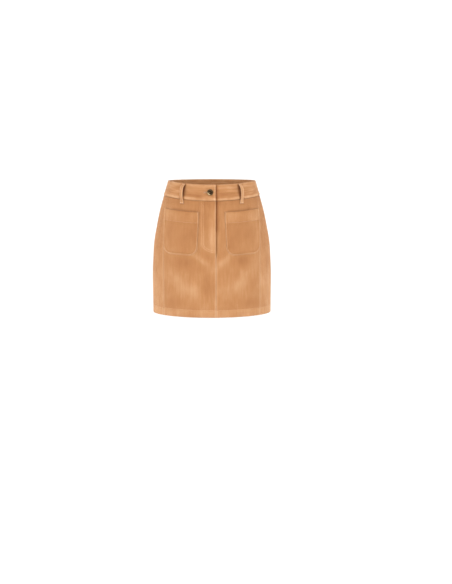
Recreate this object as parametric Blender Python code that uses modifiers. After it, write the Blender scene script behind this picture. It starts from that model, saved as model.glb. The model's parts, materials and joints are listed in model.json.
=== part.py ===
"""Corduroy mini skirt in its hollow worn form.

Metres, +Z up, the front faces -Y and the wearer's left is +X. The origin is the middle of the
waist opening, halfway down the waistband. Every cloth piece is a wall on one surface, which is
given by an angle around the waist (0 at the centre front, positive to the wearer's left), a drop
below the top edge and a lift out of the surface.
"""
from collections import namedtuple

import bpy
import numpy as np
from mathutils import Matrix, Vector

# ---------------------------------------------------------------- driving dimensions
LENGTH = 0.4356           # side length, from the top edge to the hem
TOP_Z = 0.024             # height of the top edge at the sides
FRONT_DIP = 0.0095        # how far the top edge dips at the centre front...
SEAM_DIP = 0.0133         # ...how far the waistband's seam does...
HEM_DIP = 0.0017          # ...and how far the hem does
BAND_HEIGHT = 0.0492
HEM_TURN = 0.025          # depth of the turned-up hem
SEAM_X = 0.1577           # the two seams of a side panel hang plumb this far from the centre...
SEAM_TAPER = 0.0130       # ...and lean this much towards the centre at the waistband seam
TAPER_DEPTH = 0.130       # depth below the waistband over which they do

CLOTH = 0.0016            # one layer of corduroy
DOUBLED = 2 * CLOTH       # hem, fly facing and waistband are folded cloth
GAP = 0.0003              # between pieces that touch

FLY_EDGE_X = 0.0132       # overlap edge of the fly, and the centre seam below it
FLY_STITCH_X = -0.0352    # stitched inner edge of the fly facing
FLY_END = 0.220           # drop of the fly's lower end
FLY_LIFT = 0.0024         # the doubled fly stands this proud
FLY_EASE = 0.006          # width over which it rises
FLY_RUN_OUT = 0.026       # length over which it runs out below its end
UNDERLAP_X = 0.0040       # edge of the left front under the fly
UNDERLAP_SINK = 0.0022
UNDERLAP_EASE_X = 0.0240  # the left front lies flush again from here
UNDERLAP_END = 0.017      # the underlap ends over this length above the fly's end

BAND_LIFT = 0.0010        # the folded band stands this proud of the panels
BAND_OVER_X = -0.0360     # the band's overlap starts to rise here...
BAND_OVER_EASE = 0.011    # ...over this width
BAND_OVER_LIFT = 0.0022
BAND_UNDER_X = -0.0220    # end of the band's underlap, below the overlap
BAND_UNDER_SINK = 0.0014

POCKET_TOP = 0.0860       # drops of the pocket's top and bottom edges
POCKET_BOTTOM = 0.2290
POCKET_INNER_TOP_X = 0.0415
POCKET_INNER_BOTTOM_X = 0.0490
POCKET_CORNER = 0.026
POCKET_INSET = 0.002      # from the side panel's seam
POCKET_CLEARANCE = 0.0004
POCKET_GAPE = 0.0010      # the turned top edge stands off this much more
POCKET_GAPE_DEPTH = 0.030

LOOP_WIDTH = 0.0105
LOOP_CLOTH = 0.0022
LOOP_FRONT_X = 0.0962
LOOP_LEAN = 0.0082        # a front loop's head is this much nearer the centre than its foot
LOOP_BEND = 0.048         # drop where it starts to lean
LOOP_BACK_X = 0.1000

BUTTON_X = -0.0054
BUTTON_DROP = 0.0236
SHANK_RADIUS = 0.0022
BUTTONHOLE_LENGTH = 0.020
BUTTONHOLE_WIDTH = 0.0016
EYE_RADIUS = 0.0028

ZIP_TAPE_X = 0.0130       # half width of both tapes together
ZIP_TAPE_CLOTH = 0.0006
ZIP_CHAIN_X = 0.0027
ZIP_CHAIN_THICKNESS = 0.0013
ZIP_TOP = 0.051
ZIP_BOTTOM = 0.209
SLIDER_THICKNESS = 0.0010
SLIDER_X = 0.0036
TAB_X = 0.0021

# Rings of the skirt's outer surface. Each is two half ellipses that meet at the sides.
Section = namedtuple("Section", "drop half_width front_depth back_depth")
SECTIONS = (
    Section(0.000, 0.1425, 0.0980, 0.0990),
    Section(0.048, 0.1568, 0.1040, 0.1080),
    Section(0.100, 0.1713, 0.1120, 0.1200),
    Section(0.150, 0.1816, 0.1185, 0.1295),
    Section(0.200, 0.1902, 0.1235, 0.1340),
    Section(0.260, 0.1938, 0.1280, 0.1345),
    Section(0.340, 0.1956, 0.1320, 0.1330),
    Section(LENGTH, 0.1952, 0.1360, 0.1320),
)

# A belt loop's outer face: its lift out of the skirt's surface at each drop.
LoopPoint = namedtuple("LoopPoint", "drop lift")
LOOP_PATH = (
    LoopPoint(0.0014, 0.0036),
    LoopPoint(0.0048, 0.0052),
    LoopPoint(0.0090, 0.0098),
    LoopPoint(0.0152, 0.0124),
    LoopPoint(0.0257, 0.0122),
    LoopPoint(0.0371, 0.0098),
    LoopPoint(0.0467, 0.0066),
    LoopPoint(0.0525, 0.0038),
    LoopPoint(0.0565, 0.0026),
    LoopPoint(0.0636, 0.0026),
)

# The button's turned outline, from the crown down its outer side to the shank's end.
ButtonPoint = namedtuple("ButtonPoint", "radius height")
BUTTON_PROFILE = (
    ButtonPoint(0.0, 0.0046),
    ButtonPoint(0.0035, 0.0045),
    ButtonPoint(0.0066, 0.0039),
    ButtonPoint(0.0088, 0.0029),
    ButtonPoint(0.0097, 0.0018),
    ButtonPoint(0.0094, 0.0009),
    ButtonPoint(0.0084, 0.0004),
    ButtonPoint(SHANK_RADIUS, 0.0004),
)
BUTTON_TURNS = 28

# Rows of the panels, by drop; more of them where the waist curves and where the fly and hem end.
PANEL_ROWS = np.array((
    BAND_HEIGHT + GAP, 0.066, 0.090, 0.116, 0.144, 0.174, 0.204, FLY_END, 0.236,
    FLY_END + FLY_RUN_OUT, 0.280, 0.320, 0.364, LENGTH - HEM_TURN - 0.002, LENGTH - HEM_TURN + 0.002,
    LENGTH,
))
BAND_ROWS = np.linspace(0.0, BAND_HEIGHT, 4)

# name: colour, roughness, metallic
FINISHES = {
    "corduroy": ((0.60, 0.275, 0.115, 1.0), 0.9, 0.0),
    "zip_tape": ((0.50, 0.24, 0.11, 1.0), 0.85, 0.0),
    "zip_metal": ((0.55, 0.40, 0.20, 1.0), 0.4, 1.0),
    "old_brass": ((0.13, 0.085, 0.04, 1.0), 0.35, 1.0),
}


# ---------------------------------------------------------------- the skirt's surface
def along(column, drop):
    """A column of SECTIONS at any drop, on a smooth curve through its rows."""
    knots = np.array([row.drop for row in SECTIONS])
    values = np.array([getattr(row, column) for row in SECTIONS])
    slopes = np.gradient(values, knots)
    low = np.clip(np.searchsorted(knots, drop) - 1, 0, len(knots) - 2)
    span = knots[low + 1] - knots[low]
    t = (drop - knots[low]) / span
    start = values[low] * (1 + 2 * t) * (1 - t) ** 2 + slopes[low] * span * t * (1 - t) ** 2
    end = values[low + 1] * t**2 * (3 - 2 * t) - slopes[low + 1] * span * t**2 * (1 - t)
    return start + end


def ramp(value, low, high):
    """0 at low and 1 at high, with soft ends; low may be the larger."""
    t = np.clip((value - low) / (high - low), 0.0, 1.0)
    return t * t * (3 - 2 * t)


def ring_point(angle, drop):
    depth = np.where(np.cos(angle) > 0, along("front_depth", drop), along("back_depth", drop))
    dip = np.interp(drop, (0.0, BAND_HEIGHT, LENGTH), (FRONT_DIP, SEAM_DIP, HEM_DIP))
    dip = dip * np.clip(np.cos(angle), 0.0, None) ** 2
    return np.stack((
        along("half_width", drop) * np.sin(angle),
        -depth * np.cos(angle),
        TOP_Z - drop - dip,
    ), axis=-1)


def outward(angle, drop):
    step = 1e-4
    across = ring_point(angle + step, drop) - ring_point(angle - step, drop)
    down = ring_point(angle, drop + step) - ring_point(angle, drop - step)
    normal = np.cross(down, across)
    return normal / np.linalg.norm(normal, axis=-1, keepdims=True)


def surface(angle, drop, lift):
    angle, drop, lift = np.broadcast_arrays(angle, drop, lift)
    return ring_point(angle, drop) + outward(angle, drop) * lift[..., None]


def angle_at(x, drop):
    """The angle of a point on the front, from its distance to the centre."""
    return np.arcsin(x / along("half_width", drop))


def turn(distance, angle, drop):
    """The angle that a short distance around the skirt spans."""
    depth = np.where(np.cos(angle) > 0, along("front_depth", drop), along("back_depth", drop))
    speed = np.hypot(along("half_width", drop) * np.cos(angle), depth * np.sin(angle))
    return distance / speed


def seam_angle(drop):
    """The seam between a front and a side panel, on the wearer's left."""
    lean = SEAM_TAPER * ramp(drop, BAND_HEIGHT + TAPER_DEPTH, BAND_HEIGHT - TAPER_DEPTH / 2)
    return angle_at(SEAM_X - lean, drop)


# ---------------------------------------------------------------- building helpers
def material(finish, name):
    colour, roughness, metallic = FINISHES[finish]
    made = bpy.data.materials.new(name)
    made.use_nodes = True
    shader = made.node_tree.nodes["Principled BSDF"]
    shader.inputs["Base Color"].default_value = colour
    shader.inputs["Roughness"].default_value = roughness
    shader.inputs["Metallic"].default_value = metallic
    made.diffuse_color = colour
    return made


def place(obj, collection, finish):
    collection.objects.link(obj)
    obj.data.materials.append(material(finish, f"{obj.name}_{finish}"))
    return obj


def spread(start, end, count):
    """Columns from one edge to the other, a row for each drop."""
    return start[:, None] + (end - start)[:, None] * np.linspace(0.0, 1.0, count)


def at_x(positions, drops):
    """Columns of the front at fixed distances from the centre."""
    return angle_at(np.asarray(positions)[None, :], drops[:, None])


def cloth(name, angles, drops, lift, thickness, finish="corduroy", doubled=None, side=1):
    """A wall whose outer face is a grid on the skirt's surface, thickened inwards.

    doubled, where given, is 1 where the cloth is folded to DOUBLED and 0 where it is thickness.
    side=-1 makes the wearer's right piece from the left one's grid.
    """
    lift = np.broadcast_to(lift, angles.shape)
    drops = np.broadcast_to(drops[:, None], angles.shape)
    if side < 0:
        angles, drops, lift = -angles[:, ::-1], drops[:, ::-1], lift[:, ::-1]
    points = surface(angles, drops, lift).reshape(-1, 3)
    rows, columns = angles.shape
    faces = []
    for row in range(rows - 1):
        for column in range(columns - 1):
            first = row * columns + column
            faces.append((first, first + columns, first + columns + 1, first + 1))
    mesh = bpy.data.meshes.new(name)
    mesh.from_pydata(points.tolist(), [], faces)
    mesh.shade_smooth()
    obj = bpy.data.objects.new(name, mesh)
    wall = obj.modifiers.new("Wall", "SOLIDIFY")
    wall.thickness = thickness
    wall.offset = -1.0
    wall.use_even_offset = True
    wall.use_quality_normals = True
    if doubled is not None:
        folded = np.broadcast_to(doubled, (rows, columns))
        folded = folded[:, ::-1] if side < 0 else folded
        group = obj.vertex_groups.new(name="folded")
        for index, weight in enumerate(folded.ravel()):
            group.add([index], float(weight), "REPLACE")
        wall.thickness = DOUBLED
        wall.vertex_group = group.name
        wall.thickness_vertex_group = thickness / DOUBLED
    return place(obj, skirt, finish)


def hem_fold(drops):
    return ramp(drops, LENGTH - HEM_TURN - 0.002, LENGTH - HEM_TURN + 0.002)


# ---------------------------------------------------------------- pieces
def make_front_right():
    """The front that laps over: its fly facing is folded under, so the fly is double and proud."""
    drops = PANEL_ROWS
    seam = -seam_angle(drops)
    panel = spread(seam + turn(GAP / 2, seam, drops), angle_at(FLY_STITCH_X - FLY_EASE, drops), 14)
    fly = at_x((FLY_STITCH_X, -0.021, -0.009, 0.003, FLY_EDGE_X - GAP / 2), drops)
    angles = np.hstack((panel, fly))
    x = along("half_width", drops)[:, None] * np.sin(angles)
    in_fly = ramp(x, FLY_STITCH_X - FLY_EASE, FLY_STITCH_X)
    in_fly = in_fly * ramp(drops, FLY_END + FLY_RUN_OUT, FLY_END)[:, None]
    folded = np.maximum(in_fly, hem_fold(drops)[:, None])
    cloth("front_right", angles, drops, FLY_LIFT * in_fly, CLOTH, doubled=folded)


def make_front_left():
    """The front that runs on under the fly, where the zip is sewn to it."""
    drops = PANEL_ROWS
    withdrawn = ramp(drops, FLY_END - UNDERLAP_END, FLY_END)
    edge_x = UNDERLAP_X + (FLY_EDGE_X + GAP / 2 - UNDERLAP_X) * withdrawn
    seam = seam_angle(drops)
    ease = angle_at(UNDERLAP_EASE_X, drops)
    under = spread(angle_at(edge_x, drops), ease, 4)[:, :-1]
    panel = spread(ease, seam - turn(GAP / 2, seam, drops), 14)
    angles = np.hstack((under, panel))
    x = along("half_width", drops)[:, None] * np.sin(angles)
    sunk = ramp(drops, FLY_END + FLY_RUN_OUT, FLY_END)[:, None]
    sink = UNDERLAP_SINK * ramp(x, UNDERLAP_EASE_X, FLY_EDGE_X) * sunk
    cloth("front_left", angles, drops, -sink, CLOTH, doubled=hem_fold(drops)[:, None])


def make_sides_and_backs():
    drops = PANEL_ROWS
    front_seam = seam_angle(drops)
    back_seam = np.pi - front_seam
    centre_back = np.full_like(drops, np.pi)
    folded = hem_fold(drops)[:, None]
    side = spread(
        front_seam + turn(GAP / 2, front_seam, drops),
        back_seam - turn(GAP / 2, back_seam, drops), 15)
    back = spread(
        back_seam + turn(GAP / 2, back_seam, drops),
        centre_back - turn(GAP / 2, centre_back, drops), 15)
    for name, sign in (("right", -1), ("left", 1)):
        cloth(f"side_{name}", side, drops, 0.0, CLOTH, doubled=folded, side=sign)
        cloth(f"back_{name}", back, drops, 0.0, CLOTH, doubled=folded, side=sign)


def make_waistband():
    drops = BAND_ROWS
    centre_back = np.full_like(drops, np.pi)
    centre_back = centre_back - turn(GAP / 2, centre_back, drops)

    over = at_x((BAND_OVER_X, BAND_OVER_X + BAND_OVER_EASE, -0.012, 0.0, FLY_EDGE_X), drops)
    angles = np.hstack((spread(-centre_back, over[:, 0], 40)[:, :-1], over))
    x = along("half_width", drops)[:, None] * np.sin(angles)
    rise = ramp(x, BAND_OVER_X, BAND_OVER_X + BAND_OVER_EASE) * (np.cos(angles) > 0)
    band_right = cloth("waistband_right", angles, drops, BAND_LIFT + BAND_OVER_LIFT * rise, DOUBLED)

    under = at_x((BAND_UNDER_X, -0.010, 0.003, FLY_EDGE_X + GAP, 0.0195, UNDERLAP_EASE_X), drops)
    angles = np.hstack((under, spread(under[:, -1], centre_back, 36)[:, 1:]))
    x = along("half_width", drops)[:, None] * np.sin(angles)
    sink = ramp(x, UNDERLAP_EASE_X, FLY_EDGE_X + GAP) * (np.cos(angles) > 0)
    cloth("waistband_left", angles, drops, BAND_LIFT - BAND_UNDER_SINK * sink, DOUBLED)
    return band_right


def make_pockets():
    """Patch pockets whose outer edges follow the side panel's seam."""
    straight = np.linspace(POCKET_TOP, POCKET_BOTTOM - POCKET_CORNER, 6)
    corner = np.radians((22.0, 42.0, 60.0, 76.0, 90.0))
    drops = np.concatenate((straight, POCKET_BOTTOM - POCKET_CORNER * (1 - np.sin(corner))))
    inset = np.concatenate((np.zeros_like(straight), POCKET_CORNER * (1 - np.cos(corner))))
    down = (drops - POCKET_TOP) / (POCKET_BOTTOM - POCKET_TOP)
    inner = angle_at(POCKET_INNER_TOP_X + (POCKET_INNER_BOTTOM_X - POCKET_INNER_TOP_X) * down, drops)
    outer = seam_angle(drops)
    angles = spread(
        inner + turn(inset, inner, drops),
        outer - turn(POCKET_INSET + inset, outer, drops), 12)
    gape = POCKET_GAPE * ramp(drops, POCKET_TOP + POCKET_GAPE_DEPTH, POCKET_TOP)[:, None]
    for name, sign in (("right", -1), ("left", 1)):
        cloth(f"pocket_{name}", angles, drops, POCKET_CLEARANCE + CLOTH + gape, CLOTH, side=sign)


def make_belt_loops():
    """Folded straps that stand off the band to let a belt through."""
    drops = np.array([point.drop for point in LOOP_PATH])
    lift = np.array([[point.lift] for point in LOOP_PATH])
    lean = LOOP_LEAN * np.clip(1 - drops / LOOP_BEND, 0.0, None) ** 1.5
    front = angle_at(LOOP_FRONT_X - lean, drops)
    back = np.pi - angle_at(LOOP_BACK_X, drops)
    for name, centre, sign in (
        ("front_right", front, -1),
        ("front_left", front, 1),
        ("back_right", back, -1),
        ("back_left", back, 1),
        ("center_back", np.full_like(drops, np.pi), 1),
    ):
        half = turn(LOOP_WIDTH / 2, centre, drops)
        cloth(f"belt_loop_{name}", spread(centre - half, centre + half, 3), drops, lift, LOOP_CLOTH, side=sign)


def make_zip():
    """A closed zip behind the fly: tape, chain, and a slider at the top with its tab hanging down."""
    underside = -UNDERLAP_SINK - CLOTH
    rows = np.linspace(ZIP_TOP, ZIP_BOTTOM, 9)
    tape = at_x(np.linspace(-ZIP_TAPE_X, ZIP_TAPE_X, 4), rows)
    cloth("zip_tape", tape, rows, underside - GAP, ZIP_TAPE_CLOTH, finish="zip_tape")

    chain = at_x((-ZIP_CHAIN_X, ZIP_CHAIN_X), rows)
    cloth("zip_chain", chain, rows, underside + ZIP_CHAIN_THICKNESS, ZIP_CHAIN_THICKNESS, finish="zip_metal")

    rows = ZIP_TOP + np.array((0.001, 0.011, 0.012, 0.030))
    half = np.array((SLIDER_X, SLIDER_X, TAB_X, TAB_X))
    outline = angle_at(half[:, None] * np.array((-1.0, 1.0)), rows[:, None])
    face = underside + ZIP_CHAIN_THICKNESS + GAP + SLIDER_THICKNESS
    cloth("zip_slider", outline, rows, face, SLIDER_THICKNESS, finish="zip_metal")


def button_frame():
    """Where the button sits: +Z of this frame points out of the band, its X runs along it."""
    angle = angle_at(BUTTON_X, BUTTON_DROP)
    seat = surface(angle, BUTTON_DROP, BAND_LIFT + BAND_OVER_LIFT + GAP)
    normal = Vector(outward(angle, BUTTON_DROP))
    along_band = Vector((1.0, 0.0, 0.0))
    along_band = (along_band - normal * along_band.dot(normal)).normalized()
    frame = Matrix((along_band, normal.cross(along_band), normal)).transposed().to_4x4()
    frame.translation = Vector(seat)
    return frame


def make_button():
    """Turned cap and shank; the shank passes through the buttonhole to the underlap."""
    shank_end = -(BAND_OVER_LIFT + BAND_UNDER_SINK)
    profile = (*BUTTON_PROFILE, ButtonPoint(SHANK_RADIUS, shank_end), ButtonPoint(0.0, shank_end))
    mesh = bpy.data.meshes.new("button")
    mesh.from_pydata(
        [(point.radius, 0.0, point.height) for point in profile],
        [(index, index + 1) for index in range(len(profile) - 1)], [])
    button = bpy.data.objects.new("button", mesh)
    button.matrix_world = button_frame()
    screw = button.modifiers.new("Turn", "SCREW")
    screw.steps = BUTTON_TURNS
    screw.render_steps = BUTTON_TURNS
    screw.use_merge_vertices = True
    screw.merge_threshold = 0.00001
    place(button, skirt, "old_brass")


def cut_buttonhole(band):
    """A keyhole buttonhole: a round eye for the shank, and a slit away from the band's end."""
    reach = 4 * DOUBLED
    bpy.ops.mesh.primitive_cylinder_add(vertices=20, radius=EYE_RADIUS, depth=reach)
    eye = bpy.context.object
    eye.name = "buttonhole_eye"
    eye.matrix_world = button_frame()
    bpy.ops.mesh.primitive_cube_add(size=1.0)
    slit = bpy.context.object
    slit.name = "buttonhole_slit"
    size = Matrix.Diagonal((BUTTONHOLE_LENGTH, BUTTONHOLE_WIDTH, reach, 1.0))
    slit.data.transform(Matrix.Translation((-BUTTONHOLE_LENGTH / 2, 0.0, 0.0)) @ size)
    slit.matrix_world = button_frame()
    for cutter in (eye, slit):
        for collection in list(cutter.users_collection):
            collection.objects.unlink(cutter)
        cutters.objects.link(cutter)
        cutter.hide_render = True
        cutter.display_type = "WIRE"
        cut = band.modifiers.new(cutter.name, "BOOLEAN")
        cut.operation = "DIFFERENCE"
        cut.solver = "EXACT"
        cut.object = cutter


# ---------------------------------------------------------------- build
for old in list(bpy.data.objects):
    bpy.data.objects.remove(old, do_unlink=True)

skirt = bpy.data.collections.new("corduroy_mini_skirt")
cutters = bpy.data.collections.new("cutters")
bpy.context.scene.collection.children.link(skirt)
bpy.context.scene.collection.children.link(cutters)

make_front_right()
make_front_left()
make_sides_and_backs()
cut_buttonhole(make_waistband())
make_pockets()
make_belt_loops()
make_zip()
make_button()
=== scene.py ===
# %% [markdown]
# # A corduroy mini skirt
#
# The skirt is short and A-line, in camel corduroy, with a fly, a waistband that buttons over
# itself, two patch pockets, a shaped panel down each side and five belt loops. Its plain solids
# are already modelled; this lesson gives every piece its cloth, thread or metal.
#
# The solids come first, because every piece below is placed by them.

# %% Load the skirt's solids
import json
from collections import namedtuple

import bmesh
import bpy
import numpy as np
from mathutils import Matrix, Vector

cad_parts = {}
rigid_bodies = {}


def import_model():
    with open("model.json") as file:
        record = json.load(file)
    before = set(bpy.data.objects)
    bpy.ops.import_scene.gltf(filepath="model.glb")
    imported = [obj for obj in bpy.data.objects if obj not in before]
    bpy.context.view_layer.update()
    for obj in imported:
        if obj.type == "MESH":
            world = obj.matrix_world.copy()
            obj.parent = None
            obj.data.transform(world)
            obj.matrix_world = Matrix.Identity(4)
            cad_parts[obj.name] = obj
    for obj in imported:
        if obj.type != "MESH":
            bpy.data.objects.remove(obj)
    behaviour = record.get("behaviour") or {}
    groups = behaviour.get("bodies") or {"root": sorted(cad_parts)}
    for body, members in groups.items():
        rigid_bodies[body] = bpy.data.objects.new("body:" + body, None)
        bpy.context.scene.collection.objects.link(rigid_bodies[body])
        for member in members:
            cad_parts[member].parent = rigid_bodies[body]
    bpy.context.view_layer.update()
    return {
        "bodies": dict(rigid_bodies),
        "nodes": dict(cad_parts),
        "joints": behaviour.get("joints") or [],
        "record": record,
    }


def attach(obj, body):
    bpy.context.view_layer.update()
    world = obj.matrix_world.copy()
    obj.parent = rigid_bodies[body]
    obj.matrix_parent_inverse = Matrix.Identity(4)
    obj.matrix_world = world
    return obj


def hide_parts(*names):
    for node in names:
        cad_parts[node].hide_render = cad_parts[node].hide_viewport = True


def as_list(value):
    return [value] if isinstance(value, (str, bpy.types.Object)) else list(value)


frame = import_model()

# %% [markdown]
# ## The camera
#
# The skirt is looked at from straight in front and a little above the waist, from four metres away
# with a short telephoto lens, as clothes are shown in a catalogue. From there the waist is seen
# almost level, and the hem as a shallow curve. A longer lens from further away would flatten that
# curve, and a wider one nearby would make the hem look smaller than the waist.

# %% Camera
VIEW_DISTANCE = 4.0
VIEW_HEIGHT = 0.189
VIEW_DOWN = np.radians(7.63)
VIEW_ASIDE = np.radians(0.67)
LENS_MM = 74.7


def place_object(name, data):
    thing = bpy.data.objects.new(name, data)
    bpy.context.scene.collection.objects.link(thing)
    return thing


def make_camera():
    data = bpy.data.cameras.new("catalogue_camera")
    data.lens = LENS_MM
    camera = place_object("catalogue_camera", data)
    camera.location = (0.0, -VIEW_DISTANCE, VIEW_HEIGHT)
    look = Vector((
        np.sin(VIEW_ASIDE) * np.cos(VIEW_DOWN),
        np.cos(VIEW_ASIDE) * np.cos(VIEW_DOWN),
        -np.sin(VIEW_DOWN),
    ))
    camera.rotation_euler = look.to_track_quat("-Z", "Y").to_euler()
    bpy.context.scene.camera = camera


make_camera()
print("camera", VIEW_DISTANCE, "m away with a", LENS_MM, "mm lens")

# %% [markdown]
# ## The skirt's surface
#
# All the cloth lies on one surface. A point on it is named the way a cutter would: an angle around
# the body, 0 at the centre front and positive towards the wearer's left, a drop below the top edge,
# and a lift out of the cloth. The rings have the same sizes as the solids, so whatever is made on
# this surface sits on them. A subdivided box could be pushed to this shape by hand, but a short
# table of rings keeps every seam, pocket and stitch where the pattern has it.

# %% Sizes of the cut, in metres
LENGTH = 0.4356
TOP_Z = 0.024
FRONT_DIP = 0.0095
SEAM_DIP = 0.0133
HEM_DIP = 0.0017
BAND_HEIGHT = 0.0492
HEM_TURN = 0.025
SEAM_X = 0.1577
SEAM_TAPER = 0.0130
TAPER_DEPTH = 0.130
CLOTH = 0.0016
DOUBLED = 2 * CLOTH
GAP = 0.0003
SEAM_SLACK = 0.00001
FLY_EDGE_X = 0.0132
FLY_STITCH_X = -0.0352
FLY_END = 0.220
FLY_CURVE = 0.032
FLY_LIFT = 0.0024
FLY_RUN_OUT = 0.026
UNDERLAP_X = 0.0040
UNDERLAP_SINK = 0.0022
UNDERLAP_EASE_X = 0.0240
UNDERLAP_END = 0.017
BAND_LIFT = 0.0010
BAND_OVER_X = -0.0360
BAND_OVER_EASE = 0.011
BAND_OVER_LIFT = 0.0022
BAND_UNDER_X = -0.0220
BAND_UNDER_SINK = 0.0014

Section = namedtuple("Section", "drop half_width front_depth back_depth")
SECTIONS = (
    Section(0.000, 0.1425, 0.0980, 0.0990),
    Section(0.048, 0.1568, 0.1040, 0.1080),
    Section(0.100, 0.1713, 0.1120, 0.1200),
    Section(0.150, 0.1816, 0.1185, 0.1295),
    Section(0.200, 0.1902, 0.1235, 0.1340),
    Section(0.260, 0.1938, 0.1280, 0.1345),
    Section(0.340, 0.1956, 0.1320, 0.1330),
    Section(LENGTH, 0.1952, 0.1360, 0.1320),
)


# %% The surface
def smooth(knots, values, place):
    """A soft curve through values given at knots, read at any place."""
    slopes = np.gradient(values, knots)
    low = np.clip(np.searchsorted(knots, place) - 1, 0, len(knots) - 2)
    span = knots[low + 1] - knots[low]
    t = (place - knots[low]) / span
    start = values[low] * (1 + 2 * t) * (1 - t) ** 2 + slopes[low] * span * t * (1 - t) ** 2
    end = values[low + 1] * t**2 * (3 - 2 * t) - slopes[low + 1] * span * t**2 * (1 - t)
    return start + end


def along(column, drop):
    """A column of SECTIONS at any drop."""
    knots = np.array([row.drop for row in SECTIONS])
    return smooth(knots, np.array([getattr(row, column) for row in SECTIONS]), drop)


def ramp(value, low, high):
    """0 at low and 1 at high, with soft ends; low may be the larger."""
    t = np.clip((value - low) / (high - low), 0.0, 1.0)
    return t * t * (3 - 2 * t)


def bump(value, middle, width):
    """1 at the middle, falling softly to nothing over the width on each side."""
    return np.exp(-(((value - middle) / (0.6 * width)) ** 2))


def uneven(place, pitch, low=0.45):
    """A slow change between low and 1 along a seam; its waves never fall in step."""
    turns = place / pitch
    wave = np.sin(turns) + np.sin(1.62 * turns + 1.0) + np.sin(2.87 * turns + 2.0)
    return low + (1 - low) * (0.5 + wave / 6)


def depth_at(angle, drop):
    return np.where(np.cos(angle) > 0, along("front_depth", drop), along("back_depth", drop))


def ring_point(angle, drop):
    dip = np.interp(drop, (0.0, BAND_HEIGHT, LENGTH), (FRONT_DIP, SEAM_DIP, HEM_DIP))
    dip = dip * np.clip(np.cos(angle), 0.0, None) ** 2
    return np.stack((
        along("half_width", drop) * np.sin(angle),
        -depth_at(angle, drop) * np.cos(angle),
        TOP_Z - drop - dip,
    ), axis=-1)


def unit(vectors):
    return vectors / np.linalg.norm(vectors, axis=-1, keepdims=True)


def outward(angle, drop):
    step = 1e-4
    across = ring_point(angle + step, drop) - ring_point(angle - step, drop)
    down = ring_point(angle, drop + step) - ring_point(angle, drop - step)
    return unit(np.cross(down, across))


def angle_at(x, drop):
    """The angle of a point on the front, from its distance to the centre."""
    return np.arcsin(x / along("half_width", drop))


def across_front(angle, drop):
    """The distance to the centre of a point on the front, from its angle."""
    return along("half_width", drop) * np.sin(angle)


def turn(distance, angle, drop):
    """The angle that a short distance around the skirt spans."""
    across = along("half_width", drop) * np.cos(angle)
    return distance / np.hypot(across, depth_at(angle, drop) * np.sin(angle))


def seam_angle(drop):
    """The seam between a front and a side panel, on the wearer's left."""
    lean = SEAM_TAPER * ramp(drop, BAND_HEIGHT + TAPER_DEPTH, BAND_HEIGHT - TAPER_DEPTH / 2)
    return angle_at(SEAM_X - lean, drop)


def run_along(points):
    """The distance walked from the first point to each; several paths may be stacked."""
    steps = np.linalg.norm(np.diff(points, axis=-2), axis=-1)
    return np.concatenate((np.zeros_like(steps[..., :1]), steps.cumsum(axis=-1)), axis=-1)


hem_ring = ring_point(np.linspace(-np.pi, np.pi, 721), LENGTH)
print(f"the hem is {run_along(hem_ring)[-1]:.3f} m round")

# %% [markdown]
# ## Soft folds
#
# Worn corduroy is thick and holds its shape, so this skirt has no deep folds. What shows are shallow drags:
# the fronts pull softly from under the pockets down towards the centre, the cloth dips between those pulls,
# and the back eases below the waistband. Cloth simulation would find folds of its own, in other places on
# every change, so each one is placed as a soft ridge or trough, uneven in length, depth and lean.

# %% Folds
FOLDS_BELOW = 0.02      # the waistband holds the cloth flat over this depth
OVAL_FALL = 1.4         # how fast a mark fades past its oval

# a soft oval on the cloth; its strength is a height in metres, or how much paler the tone is made, painted
# light and shade included
Mark = namedtuple("Mark", "angle_deg drop length width lean_deg strength")
FOLDS = (
    # fronts: drags that run down towards the centre, and the hollows between them
    Mark(-31, 0.292, 0.070, 0.022, 38, 0.0015),
    Mark(-17, 0.338, 0.080, 0.024, 26, 0.0012),
    Mark(29, 0.288, 0.066, 0.021, -40, 0.0014),
    Mark(16, 0.335, 0.078, 0.024, -24, 0.0011),
    Mark(-12, 0.246, 0.044, 0.012, 52, 0.0009),
    Mark(11, 0.250, 0.046, 0.012, -48, 0.0009),
    Mark(-26, 0.252, 0.050, 0.020, 44, -0.0010),
    Mark(25, 0.250, 0.050, 0.020, -44, -0.0010),
    Mark(-5, 0.305, 0.085, 0.017, 6, -0.0009),
    Mark(-41, 0.392, 0.034, 0.030, 75, -0.0009),
    Mark(42, 0.390, 0.034, 0.030, -75, -0.0009),
    # sides: long easy waves towards the hem
    Mark(-84, 0.300, 0.150, 0.026, 4, 0.0012),
    Mark(-101, 0.340, 0.120, 0.022, -6, -0.0012),
    Mark(83, 0.310, 0.140, 0.026, -5, 0.0012),
    Mark(102, 0.330, 0.120, 0.022, 5, -0.0011),
    # back: drags under the waistband, and two easy waves to the hem
    Mark(163, 0.088, 0.040, 0.014, 62, 0.0010),
    Mark(-160, 0.094, 0.044, 0.015, -58, 0.0010),
    Mark(148, 0.130, 0.050, 0.020, 48, -0.0009),
    Mark(-147, 0.126, 0.050, 0.020, -50, -0.0009),
    Mark(158, 0.330, 0.140, 0.030, -7, 0.0016),
    Mark(-155, 0.345, 0.130, 0.028, 9, 0.0014),
    Mark(172, 0.352, 0.110, 0.024, 4, -0.0014),
    Mark(-171, 0.336, 0.120, 0.022, -5, -0.0012),
)


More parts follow.
